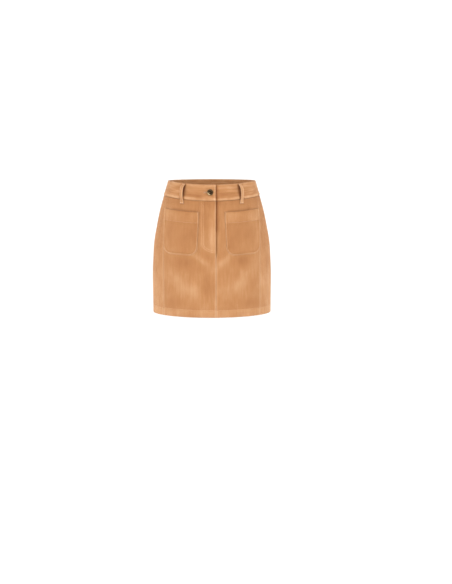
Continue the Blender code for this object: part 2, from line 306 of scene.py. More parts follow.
def soft_marks(marks, angle, drop):
    """The sum of some marks at each place; each leans from the vertical by lean_deg."""
    total = np.zeros(np.broadcast(angle, drop).shape)
    for mark in marks:
        middle = np.radians(mark.angle_deg)
        around = (angle - middle + np.pi) % (2 * np.pi) - np.pi
        across = around / turn(1.0, middle, mark.drop)
        down = drop - mark.drop
        lean = np.radians(mark.lean_deg)
        run = down * np.cos(lean) + across * np.sin(lean)
        side = across * np.cos(lean) - down * np.sin(lean)
        oval = (run / (0.5 * mark.length)) ** 2 + (side / (0.5 * mark.width)) ** 2
        total += mark.strength * np.exp(-OVAL_FALL * oval)
    return total


def surface(angle, drop, lift):
    """A point of the cloth as it hangs, folds included."""
    angle, drop, lift = np.broadcast_arrays(angle, drop, lift)
    settled = soft_marks(FOLDS, angle, drop) * ramp(drop, BAND_HEIGHT, BAND_HEIGHT + FOLDS_BELOW)
    return ring_point(angle, drop) + outward(angle, drop) * (lift + settled)[..., None]


print(len(FOLDS), "folds, the deepest", max(abs(fold.strength) for fold in FOLDS) * 1000, "mm")

# %% [markdown]
# ## Wales
#
# Corduroy's ribs are called wales. Tufts of pile stand in rows, round on top, with a narrow valley
# of bare ground cloth between them. A bump map alone would leave the outline and the edges flat, so
# the ribs are modelled: each is six columns of points, closer together beside the valley, where the
# shape turns fastest.

# %% Wales
WALE_PITCH = 0.0029
WALE_HEIGHT = 0.00042
RIB_PLACES = np.array((0.0, 0.10, 0.28, 0.50, 0.72, 0.90))
RIB_HEIGHTS = np.array((0.0, 0.50, 0.88, 1.0, 0.88, 0.50))
RIB_COLUMNS = len(RIB_PLACES)
RIB_LEVEL = 0.7         # the share of a rib's height that lies below the cloth's surface


def wale_columns(low, high, pitch=WALE_PITCH):
    """Places across the wales from low to high, with the rib's height at each: 1 on top."""
    ribs = np.arange(np.floor(low / pitch), np.ceil(high / pitch))
    places = ((ribs[:, None] + RIB_PLACES) * pitch).ravel()
    heights = np.tile(RIB_HEIGHTS, len(ribs))
    return np.append(places, (ribs[-1] + 1) * pitch), np.append(heights, 0.0)


def rib_lift(ribs):
    return WALE_HEIGHT * (ribs - RIB_LEVEL)


print(f"{1 / WALE_PITCH * 0.0254:.1f} wales to the inch, {WALE_HEIGHT * 1000} mm high")

# %% [markdown]
# ## One mesh for a piece of cloth
#
# Each piece is a closed shell: a fine grid outside, where the ribs are, and a coarse one inside,
# with one column for each rib, because the cloth's back is flat. Along the ribs both have the same
# rows, so the rim between them is easy to close. A Solidify modifier would be shorter, but it would
# copy every rib to the inside and double the mesh. Where a grid is cut off by a slanting seam, its
# columns run together at the seam, and welding leaves one point there.

# %% Cloth mesh
FACE, BACK = 0, 1


def mark_points(mesh, name, values):
    """Gives each point of a mesh a number or a vector that its finish reads."""
    kind, field = ("FLOAT_VECTOR", "vector") if values.shape[1] == 3 else ("FLOAT", "value")
    mesh.attributes.new(name, kind, "POINT").data.foreach_set(field, values.astype(np.float32).ravel())


def over_grid(values, grid):
    """A row for each point of a grid, from a number, or a number or a vector for each point."""
    return np.broadcast_to(values, grid.shape[:2] + np.shape(values)[2:]).reshape(grid[..., 0].size, -1)


def cloth_mesh(name, outer, inner, marks, turned=0.0):
    """A closed piece from an outer grid of points and an inner one with every sixth column.

    marks maps an attribute's name to its outer and inner values. turned is 1 at the inner points
    where the cloth is folded over, so that its pile shows inside too.
    """
    rows, columns = outer.shape[:2]
    inner_columns = inner.shape[1]
    first_inner = rows * columns
    turned = np.broadcast_to(turned, inner.shape[:2]) > 0.5
    turned = turned[:-1, :-1] & turned[:-1, 1:] & turned[1:, :-1] & turned[1:, 1:]
    faces, finishes = [], []
    for row in range(rows - 1):
        start = row * columns
        for column in range(start, start + columns - 1):
            faces.append((column, column + columns, column + columns + 1, column + 1))
        behind = first_inner + row * inner_columns
        for column in range(behind, behind + inner_columns - 1):
            faces.append((column, column + 1, column + inner_columns + 1, column + inner_columns))
        for edge, inner_edge in ((start, behind), (start + columns - 1, behind + inner_columns - 1)):
            faces.append((edge, inner_edge, inner_edge + inner_columns, edge + columns))
        finishes += [FACE] * (columns - 1)
        finishes += [FACE if pile else BACK for pile in turned[row]]
        finishes += [FACE] * 2
    for row in (0, rows - 1):
        for column in range(inner_columns - 1):
            rib = row * columns + column * RIB_COLUMNS
            behind = first_inner + row * inner_columns + column
            faces.append((*range(rib, rib + RIB_COLUMNS + 1), behind + 1, behind))
            finishes.append(FACE)

    mesh = bpy.data.meshes.new(name)
    points = np.concatenate((outer.reshape(-1, 3), inner.reshape(-1, 3)))
    mesh.from_pydata(points.tolist(), [], faces)
    mesh.polygons.foreach_set("material_index", np.array(finishes, np.int32))
    for mark, (outside, inside) in marks.items():
        mark_points(mesh, mark, np.concatenate((over_grid(outside, outer), over_grid(inside, inner))))
    return finish_mesh(mesh)


def finish_mesh(mesh, weld=0.00002, sharp_deg=50):
    """Welds the points that meet, turns the faces outwards and shades them smooth."""
    edit = bmesh.new()
    edit.from_mesh(mesh)
    bmesh.ops.remove_doubles(edit, verts=edit.verts, dist=weld)
    bmesh.ops.dissolve_degenerate(edit, edges=edit.edges, dist=weld / 4)
    bmesh.ops.recalc_face_normals(edit, faces=edit.faces)
    edit.to_mesh(mesh)
    edit.free()
    return shaded(mesh, sharp_deg)


def shaded(mesh, sharp_deg):
    """Shades a mesh smooth, except over edges sharper than an angle."""
    mesh.shade_smooth()
    mesh.set_sharp_from_angle(angle=np.radians(sharp_deg))
    return mesh


def add_piece(name, mesh, materials, stands_for=None):
    """Puts a mesh in the scene, on the skirt's one body, with its finish and the solid it replaces."""
    piece = place_object(name, mesh)
    for material in materials:
        mesh.materials.append(material)
    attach(piece, "root")
    if stands_for:
        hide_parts(stands_for)
    print(f"{name}: {len(mesh.polygons)} faces")
    return piece


def mesh_from(edit, name):
    """Ends an edit and keeps what it made as a mesh."""
    mesh = bpy.data.meshes.new(name)
    edit.to_mesh(mesh)
    edit.free()
    return mesh


print("cloth has", RIB_COLUMNS, "columns a rib outside and one inside")

# %% [markdown]
# ## Materials
#
# Every finish is worked out from what the real thing is and how its surface was made. Colours are
# written as the hex values that a dyer or a printer would use, and one function turns them to the
# linear values that a shader needs. One more function adds a node with its settings and links.

# %% Material helpers
def linear(hex_colour):
    """An sRGB hex colour as linear values."""
    parts = np.array([int(hex_colour[place:place + 2], 16) / 255 for place in (1, 3, 5)])
    parts = np.where(parts <= 0.04045, parts / 12.92, ((parts + 0.055) / 1.055) ** 2.4)
    return (*parts.tolist(), 1.0)


def add_node(tree, kind, inputs=(), to=None, **settings):
    """Adds a node with its settings and gives its outputs.

    Each input is a value, or the socket that feeds it; to is a socket that the first output feeds.
    """
    node = tree.nodes.new(kind)
    for name, value in settings.items():
        setattr(node, name, value)
    for name, value in dict(inputs).items():
        if isinstance(value, bpy.types.NodeSocket):
            tree.links.new(value, node.inputs[name])
        else:
            node.inputs[name].default_value = value
    if to is not None:
        tree.links.new(node.outputs[0], to)
    return node.outputs


def new_material(name, **sockets):
    """A material with one Principled shader; the keywords set its sockets."""
    material = bpy.data.materials.new(name)
    material.use_nodes = True
    shader = material.node_tree.nodes["Principled BSDF"]
    for socket, value in sockets.items():
        shader.inputs[socket.replace("_", " ").title().replace("Ior", "IOR")].default_value = value
    return material, material.node_tree, shader


def tinted(tree, tone, stops, to=None):
    """A colour that runs through the stops, each a place from 0 to 1 and a hex colour."""
    colour = add_node(tree, "ShaderNodeValToRGB", {"Fac": tone}, to)["Color"]
    elements = colour.node.color_ramp.elements
    while len(elements) < len(stops):
        elements.new(0.5)
    for element, (place, hex_colour) in zip(elements, stops):
        element.position = place
        element.color = linear(hex_colour)
    return colour


def grain_noise(tree, grain, width, length, detail=2.0):
    """Noise stretched along the grain, with grains of a width and length in metres."""
    scaled = add_node(tree, "ShaderNodeVectorMath",
                      {0: grain, 1: (1 / width, 1 / length, 1.0)}, operation="MULTIPLY")[0]
    return add_node(tree, "ShaderNodeTexNoise", {"Vector": scaled, "Scale": 1.0, "Detail": detail})["Fac"]


def waves(tree, place, pitch):
    """Even ridges across a line, one for each pitch."""
    turns = add_node(tree, "ShaderNodeMath", {0: place, 1: 2 * np.pi / pitch}, operation="MULTIPLY")[0]
    return add_node(tree, "ShaderNodeMath", {0: turns}, operation="SINE")[0]


def dress(tree, shader, tone, stops, height, strength, depth):
    """Gives a shader a colour that follows a tone, and relief that follows a height."""
    tinted(tree, tone, stops, to=shader.inputs["Base Color"])
    add_node(tree, "ShaderNodeBump", {"Height": height, "Strength": strength, "Distance": depth},
             to=shader.inputs["Normal"])


def weighted(tree, *terms, start=0.0):
    """The sum of some sockets, each times its weight."""
    total = start
    for socket, weight in terms:
        total = add_node(tree, "ShaderNodeMath", {0: socket, 1: weight, 2: total},
                         operation="MULTIPLY_ADD")[0]
    return total


print("camel is", [round(part, 3) for part in linear("#CE9160")])

# %% [markdown]
# ### Cotton corduroy
#
# The pile is cut cotton, dyed camel after weaving. Its fibre ends scatter light in all directions, so it is
# rough and has no gloss, and their tips catch light at a glancing angle, which is the pale bloom at the
# skirt's sides; the shader's sheen gives that. Pile that has been stroked one way is lighter or darker than
# the rest, so the tone follows soft patches along the grain. Between the ribs the ground cloth is darker,
# and where seams and edges rub, the pile is paler. The tone also follows the painted light and shade that
# each point carries: along the folds, round the pockets, on the waistband, and the painted shadows beside
# the fly and under the loops.

# %% Corduroy's pile
CAMEL_STOPS = (
    (0.0, "#55280C"), (0.3, "#7D4D2A"), (0.55, "#936640"), (0.85, "#B48D6A"), (1.0, "#C3A182"))
GROUND_COLOUR = "#59381E"
STREAK = (0.0058, 0.045)          # a band of two ribs whose tufts lean alike
BRUSHED = (0.045, 0.060)          # a patch as wide as a hand's edge
# tufts are about 0.3 mm; they are drawn 0.9 mm wide, so that they show from a metre away
TUFT = (0.0009, 0.0013)


def corduroy_material():
    material, tree, shader = new_material(
        "cotton_corduroy_pile", roughness=0.92, sheen_weight=0.34, sheen_roughness=0.5,
        sheen_tint=linear("#FFE2C2"), specular_ior_level=0.15)
    grain = add_node(tree, "ShaderNodeAttribute", attribute_name="grain")["Vector"]
    wale, nap, drawn, streaky = (
        add_node(tree, "ShaderNodeAttribute", attribute_name=name)["Fac"]
        for name in ("wale", "nap", "drawn", "streaky"))
    tufts = grain_noise(tree, grain, *TUFT, detail=1.0)
    streak = add_node(tree, "ShaderNodeMath", {0: grain_noise(tree, grain, *STREAK), 1: 0.5},
                      operation="SUBTRACT")[0]
    leaning = add_node(tree, "ShaderNodeMath", {0: streak, 1: streaky}, operation="MULTIPLY")[0]
    # the tone takes each point's nap and wear, and its painted light and shade
    tone = weighted(tree, (leaning, 1.0), (grain_noise(tree, grain, *BRUSHED), 0.22),
                    (tufts, 0.25), (nap, 1.0), start=0.315)
    valley = add_node(tree, "ShaderNodeMapRange",
                      {"Value": wale, "From Max": 0.85, "To Min": 0.62, "To Max": 0.0})[0]
    colour = add_node(tree, "ShaderNodeMix", {
        0: valley, 6: tinted(tree, tone, CAMEL_STOPS), 7: linear(GROUND_COLOUR)}, data_type="RGBA")[2]
    tree.links.new(colour, shader.inputs["Base Color"])

    # ribs are only drawn, not modelled, on the face cloth that is turned to the inside
    across = add_node(tree, "ShaderNodeSeparateXYZ", {0: grain})[0]
    rib = add_node(tree, "ShaderNodeMath", {0: waves(tree, across, WALE_PITCH), 1: drawn},
                   operation="MULTIPLY")[0]
    ribbed = add_node(tree, "ShaderNodeBump",
                      {"Height": rib, "Strength": 1.0, "Distance": WALE_HEIGHT / 2})[0]
    add_node(tree, "ShaderNodeBump",
             {"Height": tufts, "Strength": 0.6, "Distance": 0.0004, "Normal": ribbed},
             to=shader.inputs["Normal"])
    return material


corduroy_pile = corduroy_material()
print(corduroy_pile.name, len(corduroy_pile.node_tree.nodes), "nodes")

# %% [markdown]
# ### The back of the cloth
#
# Corduroy's back is a twill: flat, of about the pile's own colour, and crossed by fine diagonal
# ridges. Those are about half a millimetre apart on real cloth and are drawn 0.85 mm apart.

# %% Twill back
TWILL_PITCH = 0.0012


def twill_material():
    material, tree, shader = new_material(
        "cotton_twill_back", roughness=0.88, sheen_weight=0.15, sheen_roughness=0.5,
        specular_ior_level=0.2)
    grain = add_node(tree, "ShaderNodeAttribute", attribute_name="grain")["Vector"]
    slub = grain_noise(tree, grain, 0.0012, 0.020)
    cloud = grain_noise(tree, grain, 0.050, 0.080)
    across, down, _ = add_node(tree, "ShaderNodeSeparateXYZ", {0: grain})
    diagonal = add_node(tree, "ShaderNodeMath", {0: across, 1: down}, operation="ADD")[0]
    ridge = waves(tree, diagonal, TWILL_PITCH)
    tone = weighted(tree, (slub, 0.5), (cloud, 0.4), (ridge, 0.12), start=0.05)
    dress(tree, shader, tone, ((0.0, "#7C5636"), (0.5, "#936943"), (1.0, "#A87F5A")),
          ridge, strength=0.7, depth=0.00012)
    return material


twill_back = twill_material()
print(twill_back.name, len(twill_back.node_tree.nodes), "nodes")

# %% [markdown]
# ### Thread, brass and zip tape
#
# The topstitching is core-spun polyester thread in the cloth's own shade, smoother than the pile
# and so a little brighter. The button is cast brass, darkened in a bath and then rubbed, which
# leaves the rims and the crown bright and the recesses brown. The zip's teeth are the same metal
# without the bath. Its tape is woven polyester in a fine herringbone.

# %% Thread
def thread_material():
    material, tree, shader = new_material(
        "core_spun_thread", roughness=0.62, sheen_weight=0.2, sheen_roughness=0.4)
    grain = add_node(tree, "ShaderNodeAttribute", attribute_name="grain")["Vector"]
    twist = grain_noise(tree, grain, 0.0004, 0.0008)
    lot = grain_noise(tree, grain, 0.020, 0.020)
    dress(tree, shader, weighted(tree, (twist, 0.5), (lot, 0.5)),
          ((0.2, "#9A6C49"), (0.5, "#B28862"), (0.8, "#C39D79")), twist, strength=0.5, depth=0.0001)
    return material


thread = thread_material()
print(thread.name, len(thread.node_tree.nodes), "nodes")


# %% Brass
def brass_material(name, stops, rubbed_roughness, film_roughness, patina_size):
    """Brass; an attribute of each point says where its dark film has worn off, and on the button also where
    it is made bright for a painted glint.
    """
    material, tree, shader = new_material(name, metallic=1.0)
    place = add_node(tree, "ShaderNodeTexCoord")["Object"]
    patina = add_node(tree, "ShaderNodeTexNoise",
                      {"Vector": place, "Scale": 1 / patina_size, "Detail": 4.0})["Fac"]
    wear_and_painted_light = add_node(tree, "ShaderNodeAttribute", attribute_name="wear_and_painted_light")["Fac"]
    tone = weighted(tree, (wear_and_painted_light, 0.75), (patina, 0.5), start=-0.12)
    dress(tree, shader, tone, stops, patina, strength=0.25, depth=0.0001)
    add_node(tree, "ShaderNodeMapRange",
             {"Value": tone, "To Min": film_roughness, "To Max": rubbed_roughness},
             to=shader.inputs["Roughness"])
    return material


old_brass = brass_material(
    "darkened_cast_brass", ((0.0, "#140E07"), (0.30, "#2A1F14"), (0.55, "#5A4832"), (1.0, "#D2B88C")),
    rubbed_roughness=0.26, film_roughness=0.50, patina_size=0.0015)
zip_brass = brass_material(
    "drawn_brass_zip", ((0.0, "#6E5430"), (0.5, "#A98851"), (1.0, "#D8BC85")),
    rubbed_roughness=0.28, film_roughness=0.45, patina_size=0.0020)
print(old_brass.name, zip_brass.name)


# %% Zip tape
CHEVRON_WIDTH = 0.004
CHEVRON_PITCH = 0.0016            # real yarns are about a third of this, too fine to show


def tape_material():
    material, tree, shader = new_material("woven_polyester_tape", roughness=0.7, sheen_weight=0.1)
    grain = add_node(tree, "ShaderNodeAttribute", attribute_name="grain")["Vector"]
    across, down, _ = add_node(tree, "ShaderNodeSeparateXYZ", {0: grain})
    aside = add_node(tree, "ShaderNodeMath", {0: across, 1: CHEVRON_WIDTH}, operation="PINGPONG")[0]
    chevron = add_node(tree, "ShaderNodeMath", {0: aside, 1: down}, operation="ADD")[0]
    weave = waves(tree, chevron, CHEVRON_PITCH)
    tone = weighted(tree, (weave, 0.2), (grain_noise(tree, grain, 0.003, 0.003), 0.5), start=0.2)
    dress(tree, shader, tone, ((0.0, "#8F6136"), (1.0, "#BE8E60")), weave, strength=0.5, depth=0.0001)
    return material


zip_tape_weave = tape_material()
print(zip_tape_weave.name, len(zip_tape_weave.node_tree.nodes), "nodes")

# %% [markdown]
# ## Painted light and shade along the folds
#
# The tone is made paler or deeper in soft patches. On the fronts the paler streaks lie on the ridges of the
# folds, which run down from the pockets' corners, and the deeper tone lies in the hollows between them:
# painted light and shade over the modelled folds. The sides and the back have such patches too, partly on
# their folds and partly as pile stroked one way, and a pale strip runs beside the fly's edge. Each patch is
# a soft oval, placed as the folds were.

# %% Painted light and shade along the folds
NAP_AND_FOLD_SHADING = (
    Mark(-29, 0.330, 0.150, 0.056, 45, 0.10),
    Mark(26, 0.330, 0.140, 0.054, -42, 0.09),
    Mark(-10, 0.246, 0.090, 0.026, 56, 0.10),
    Mark(11, 0.249, 0.084, 0.024, -46, 0.10),
    Mark(-28, 0.254, 0.050, 0.080, 10, -0.12),
    Mark(30, 0.252, 0.050, 0.072, -10, -0.11),
    Mark(-39, 0.388, 0.036, 0.090, 0, -0.09),
    Mark(41, 0.388, 0.036, 0.076, 0, -0.10),
    Mark(-5, 0.323, 0.110, 0.040, 3, -0.06),
    Mark(-17, 0.345, 0.070, 0.040, 20, 0.06),
    Mark(0, 0.170, 0.120, 0.020, 0, 0.16),
    Mark(-7, 0.095, 0.120, 0.046, 0, -0.08),
    Mark(-7, 0.190, 0.040, 0.030, 0, 0.07),
    Mark(-3, 0.230, 0.034, 0.060, 0, -0.08),
    Mark(-16, 0.037, 0.020, 0.038, 0, -0.12),
    Mark(12, 0.031, 0.026, 0.040, 0, -0.14),
    Mark(-25, 0.160, 0.090, 0.070, 0, -0.06),
    Mark(26, 0.160, 0.090, 0.070, 0, -0.03),
    Mark(-82, 0.350, 0.200, 0.120, 3, 0.08),
    Mark(-66, 0.175, 0.090, 0.040, 0, -0.06),
    Mark(82, 0.350, 0.200, 0.120, -3, 0.09),
    Mark(-75, 0.120, 0.270, 0.110, 0, -0.06),
    Mark(75, 0.120, 0.270, 0.110, 0, -0.10),
    Mark(49, 0.112, 0.070, 0.034, 0, 0.08),
    Mark(150, 0.230, 0.160, 0.070, 24, 0.10),
    Mark(-146, 0.250, 0.150, 0.070, -28, 0.11),
    Mark(168, 0.140, 0.090, 0.070, 55, -0.10),
    Mark(-170, 0.330, 0.120, 0.060, -10, -0.10),
    Mark(157, 0.390, 0.040, 0.110, 0, -0.09),
)


# painted light and shade on the folds' ridges and hollows, with patches of stroked pile
def nap_and_fold_shading(angle, drop):
    return soft_marks(NAP_AND_FOLD_SHADING, angle, drop)


print(len(NAP_AND_FOLD_SHADING), "patches")

# %% [markdown]
# ## Where the needle goes
#
# Topstitching holds the layers flat: along both edges of the waistband, in a J beside the fly,
# round the pockets, beside the long seams and along the hem. A line of it is a list of angles and
# drops. The lines come before the cloth, because the cloth sinks a little under each of them, and
# the thread is laid on them at the end.

# %% Sizes of the sewing, in metres
POCKET_TOP = 0.0860
POCKET_BOTTOM = 0.2290
POCKET_INNER_TOP_X = 0.0415
POCKET_INNER_BOTTOM_X = 0.0490
POCKET_CORNER = 0.026
POCKET_INSET = 0.002
POCKET_CLEARANCE = 0.0004
POCKET_GAPE = 0.0010
POCKET_GAPE_DEPTH = 0.030
POCKET_HEM = 0.0365
EDGE_STITCH = 0.0022
FLY_INSET = 0.002
TWIN_STITCH = 0.0055
STITCH_SINK = 0.00045
STITCH_STEP = 0.004
STITCH_ENDS = 0.002
STITCH_REACH = 0.0011           # the dip under a stitch fades over this
STITCH_PUFF = (0.0034, 0.0024)  # the puff beside it: where it is highest, and its width
PUFF_HEIGHT = 0.00022
HEM_RADIUS = 0.16               # metres for each radian, to space the stitches
BAND_RADIUS = 0.15


def run_down(start, end):
    return np.linspace(start, end, max(2, round(abs(end - start) / STITCH_STEP)))


def down_front(x, start, end):
    """A straight line down the front."""
    drop = run_down(start, end)
    return angle_at(x, drop), drop


def fly_stitch(inset):
    """A J: down from the band, then round to the fly's end."""
    turned = FLY_END - FLY_CURVE
    sweep = np.radians(np.linspace(0, 90, 14))
    start = FLY_STITCH_X + inset
    straight = run_down(BAND_HEIGHT + STITCH_ENDS, turned)[:-1]
    curve = start + (FLY_EDGE_X - 0.001 - start) * (1 - np.cos(sweep))
    x = np.append(np.full_like(straight, start), curve)
    drop = np.append(straight, turned + (FLY_CURVE - inset) * np.sin(sweep))
    return angle_at(x, drop), drop


def hem_stitch(start, end):
    angle = np.linspace(start, end, max(2, round((end - start) * HEM_RADIUS / STITCH_STEP)))
    return angle, np.full_like(angle, LENGTH - HEM_TURN)


def beside_seam(edge, inset):
    """A line a short way inside an edge, the whole length of a panel."""
    drop = run_down(BAND_HEIGHT + STITCH_ENDS, LENGTH - STITCH_ENDS)
    angle = edge(drop)
    return angle + turn(inset, angle, drop), drop


def pocket_drops(inset=0.0):
    corner = np.radians(np.linspace(0, 90, 12))
    bottom = POCKET_BOTTOM - inset
    radius = POCKET_CORNER - inset
    return np.append(run_down(POCKET_TOP, bottom - radius)[:-1], bottom - radius * (1 - np.sin(corner)))


def pocket_edges(drops, inset=0.0):
    """The inner and outer edge of the wearer's left pocket; an inset gives its stitching."""
    radius = POCKET_CORNER - inset
    rise = np.clip(drops - (POCKET_BOTTOM - POCKET_CORNER), 0.0, radius)
    corner = inset + radius - np.sqrt(np.clip(radius**2 - rise**2, 0.0, None))
    down = (drops - POCKET_TOP) / (POCKET_BOTTOM - POCKET_TOP)
    inner = angle_at(POCKET_INNER_TOP_X + (POCKET_INNER_BOTTOM_X - POCKET_INNER_TOP_X) * down, drops)
    outer = seam_angle(drops)
    return inner + turn(corner, inner, drops), outer - turn(POCKET_INSET + corner, outer, drops)


def pocket_outline(inset=0.0):
    drops = pocket_drops(inset)
    inner, outer = pocket_edges(drops, inset)
    floor = np.linspace(inner[-1], outer[-1], 16)[1:-1]
    return (np.concatenate((inner, floor, outer[::-1])),
            np.concatenate((drops, np.full_like(floor, drops[-1]), drops[::-1])))


def pocket_mouth():
    """Just above the pocket's top edge, along the part where hands go in."""
    drop = np.full(16, POCKET_TOP - 0.0016)
    inner, outer = pocket_edges(drop)
    return inner + (outer - inner) * np.linspace(0.10, 0.66, 16), drop


def pocket_hem_stitch():
    drop = np.full(22, POCKET_TOP + POCKET_HEM)
    inner, outer = pocket_edges(drop, EDGE_STITCH)
    return np.linspace(inner[0], outer[0], 22), drop


def mirrored(line, side=-1):
    """The same line on the wearer's right; with side 1 it stays on the left."""
    return side * line[0], line[1]


def away_from(lines, angles, drops):
    """How far each place is from the nearest of some lines, in metres."""
    places = ring_point(angles, drops)
    nearest = np.full(angles.shape, np.inf)
    for line in lines:
        points = ring_point(*line)
        for start, step in zip(points[:-1], np.diff(points, axis=0)):
            offset = places - start
            t = np.clip(offset @ step / (step @ step), 0.0, 1.0)
            nearest = np.minimum(nearest, np.linalg.norm(offset - t[..., None] * step, axis=-1))
    return nearest


def sewn_sink(lines, angles, drops):
    """The cloth's dip under its stitches, and the low puff that it leaves on both sides."""
    away = away_from(lines, angles, drops)
    dip = STITCH_SINK * np.exp(-((away / STITCH_REACH) ** 2))
    return dip - PUFF_HEIGHT * bump(away, *STITCH_PUFF)


FLY_LINES = [fly_stitch(FLY_INSET), fly_stitch(FLY_INSET + TWIN_STITCH)]
CENTRE_STITCH = down_front(FLY_EDGE_X - EDGE_STITCH, FLY_END + 0.004, LENGTH - STITCH_ENDS)
print("pocket", len(pocket_outline()[0]), "points round")

# %% [markdown]
# ## Panels
#
# Six panels hang from the waistband: two fronts, a side panel each side, and two backs. In each, the
# ribs run straight down from its grain line, and the slanting seams cut across them, as a cutter
# lays the pattern on the cloth. At a seam the cloth rolls in, and at the fly and the hem it is folded
# over. The hem is turned up inside, where the pile shows again.

# %% Grid of a panel
SWEEP = np.linspace(-0.62 * np.pi, 0.62 * np.pi, 441)   # round a grain line, past any panel's edge
SEAM_VALLEY = 0.0005
SEAM_REACH = 0.0010
SEAM_RIDGE = (0.0036, 0.0034)   # the ridge beside a seam: where it is highest, and its width
RIDGE_HEIGHT = 0.0004


def spread_columns(places, drops, grain, low, high):
    """Angles for places across the grain at each drop, cut off at the panel's two edges."""
    run = run_along(ring_point(grain + SWEEP, drops[:, None]))
    run -= run[:, len(SWEEP) // 2, None]
    cut, angles, edges = [], [], []
    for lengths, start, end in zip(run, low(drops) - grain, high(drops) - grain):
        edges.append(np.interp((start, end), SWEEP, lengths))
        cut.append(np.clip(places, *edges[-1]))
        angles.append(grain + np.interp(cut[-1], lengths, SWEEP))
    first, last = np.array(edges).T[..., None]
    return np.array(cut), np.array(angles), first, last


def ribbed_grid(drops, grain, low, high):
    """The ribs that fit between two edges, and where they are at each drop."""
    _, _, first, last = spread_columns(np.zeros(1), drops, grain, low, high)
    places, ribs = wale_columns(first.min(), last.max())
    return places, ribs, *spread_columns(places, drops, grain, low, high)


def seam_sink(distance):
    """Cloth rolls into a seam, with a soft ridge beside it, over the turned-back allowance."""
    valley = SEAM_VALLEY * np.exp(-((distance / SEAM_REACH) ** 2))
    return valley - RIDGE_HEIGHT * bump(distance, *SEAM_RIDGE)


def fold_sink(distance, radius=0.0014):
    """Cloth folded over an edge is round."""
    return radius * (1 - np.sqrt(1 - (1 - np.clip(distance / radius, 0.0, 1.0)) ** 2))


print("a panel's ribs are measured over", len(SWEEP), "places")

# %% Sewing a piece
Cut = namedtuple("Cut", "piece width length area held rests_on")
CUTS = {}
BAND_PIECES = ("waistband_right_corduroy", "waistband_left_corduroy")


def note_cut(piece, widths, run, held, rests_on):
    """Keeps the flat size of what shows of a piece: its width at places along its length."""
    area = ((widths[1:] + widths[:-1]) / 2 * np.diff(run)).sum()
    width, length = float(widths.max()), float(run[-1] - run[0])
    CUTS[piece.name] = Cut(piece, width, length, float(area), held, rests_on)


def grained(across, along_grain, part):
    """What the finish reads at a place: how far across and along the grain, and on which part."""
    return np.stack(np.broadcast_arrays(across, along_grain, part), axis=-1)


def sew(name, outer, inner, grains, ribs, nap, streaky, turned, cut, cloth):
    """Closes a piece, marks it for its finish, and hangs it in place of its solid.

    grains and streaky are pairs, for the outside and the inside. The tone given for each point says how
    much paler the pile is, from nap and wear and from painted light and shade, and turned says where the
    inside is pile too.
    """
    marks = {
        "grain": grains,
        "wale": (ribs, 1.0),
        "nap": (nap, 0.0),
        "drawn": (0.0, turned),
        "streaky": streaky,
    }
    mesh = cloth_mesh(f"{name}_cloth", outer, inner, marks, turned)
    piece = add_piece(f"{name}_corduroy", mesh, cloth, stands_for=name)
    note_cut(piece, *cut)
    return piece


print("the cloth pieces hang from", *BAND_PIECES)

# %% Rows of a panel
HemRow = namedtuple("HemRow", "up sink inner_up inner_depth")
HEM_ROWS = (
    HemRow(0.0290, 0.0, 0.0290, CLOTH),
    HemRow(0.0272, 0.0, 0.0272, CLOTH),
    HemRow(0.0260, 0.0, 0.0260, CLOTH),
    HemRow(0.0250, 0.0, 0.0252, CLOTH),
    HemRow(0.0241, 0.0, 0.0250, DOUBLED),
    HemRow(0.0226, 0.0, 0.0226, DOUBLED),
    HemRow(0.0150, 0.0, 0.0150, DOUBLED),
    HemRow(0.0080, 0.0, 0.0080, DOUBLED),
    HemRow(0.0030, 0.0, 0.0030, DOUBLED),
    HemRow(0.0013, 0.0002, 0.0014, DOUBLED - 0.0002),
    HemRow(0.0004, 0.0007, 0.0005, DOUBLED - 0.0007),
    HemRow(0.0000, 0.0013, 0.0000, DOUBLED - 0.0013),
)
upper_drops = np.concatenate((
    BAND_HEIGHT + np.array((0.0001, 0.0007, 0.0015, 0.0026, 0.0042)),
    np.arange(0.056, 0.184, 0.006),
    np.arange(0.184, 0.262, 0.003),
    np.arange(0.262, LENGTH - 0.032, 0.0062),
))
hem_outer, hem_inner = (
    np.array([getattr(row, part) for row in HEM_ROWS]) for part in ("up", "inner_up"))
OUTER_DROPS = np.append(upper_drops, LENGTH - hem_outer)
INNER_DROPS = np.append(upper_drops, LENGTH - hem_inner)
HEM_SINK = np.append(np.zeros_like(upper_drops), [row.sink for row in HEM_ROWS])[:, None]
INNER_DEPTH = np.append(np.full_like(upper_drops, CLOTH), [row.inner_depth for row in HEM_ROWS])[:, None]
print(len(OUTER_DROPS), "rows in a panel")


# %% A panel
RIB_FADE = (0.0003, 0.0018)     # the ribs run out between these distances from an edge


def nothing(*place):
    return 0.0


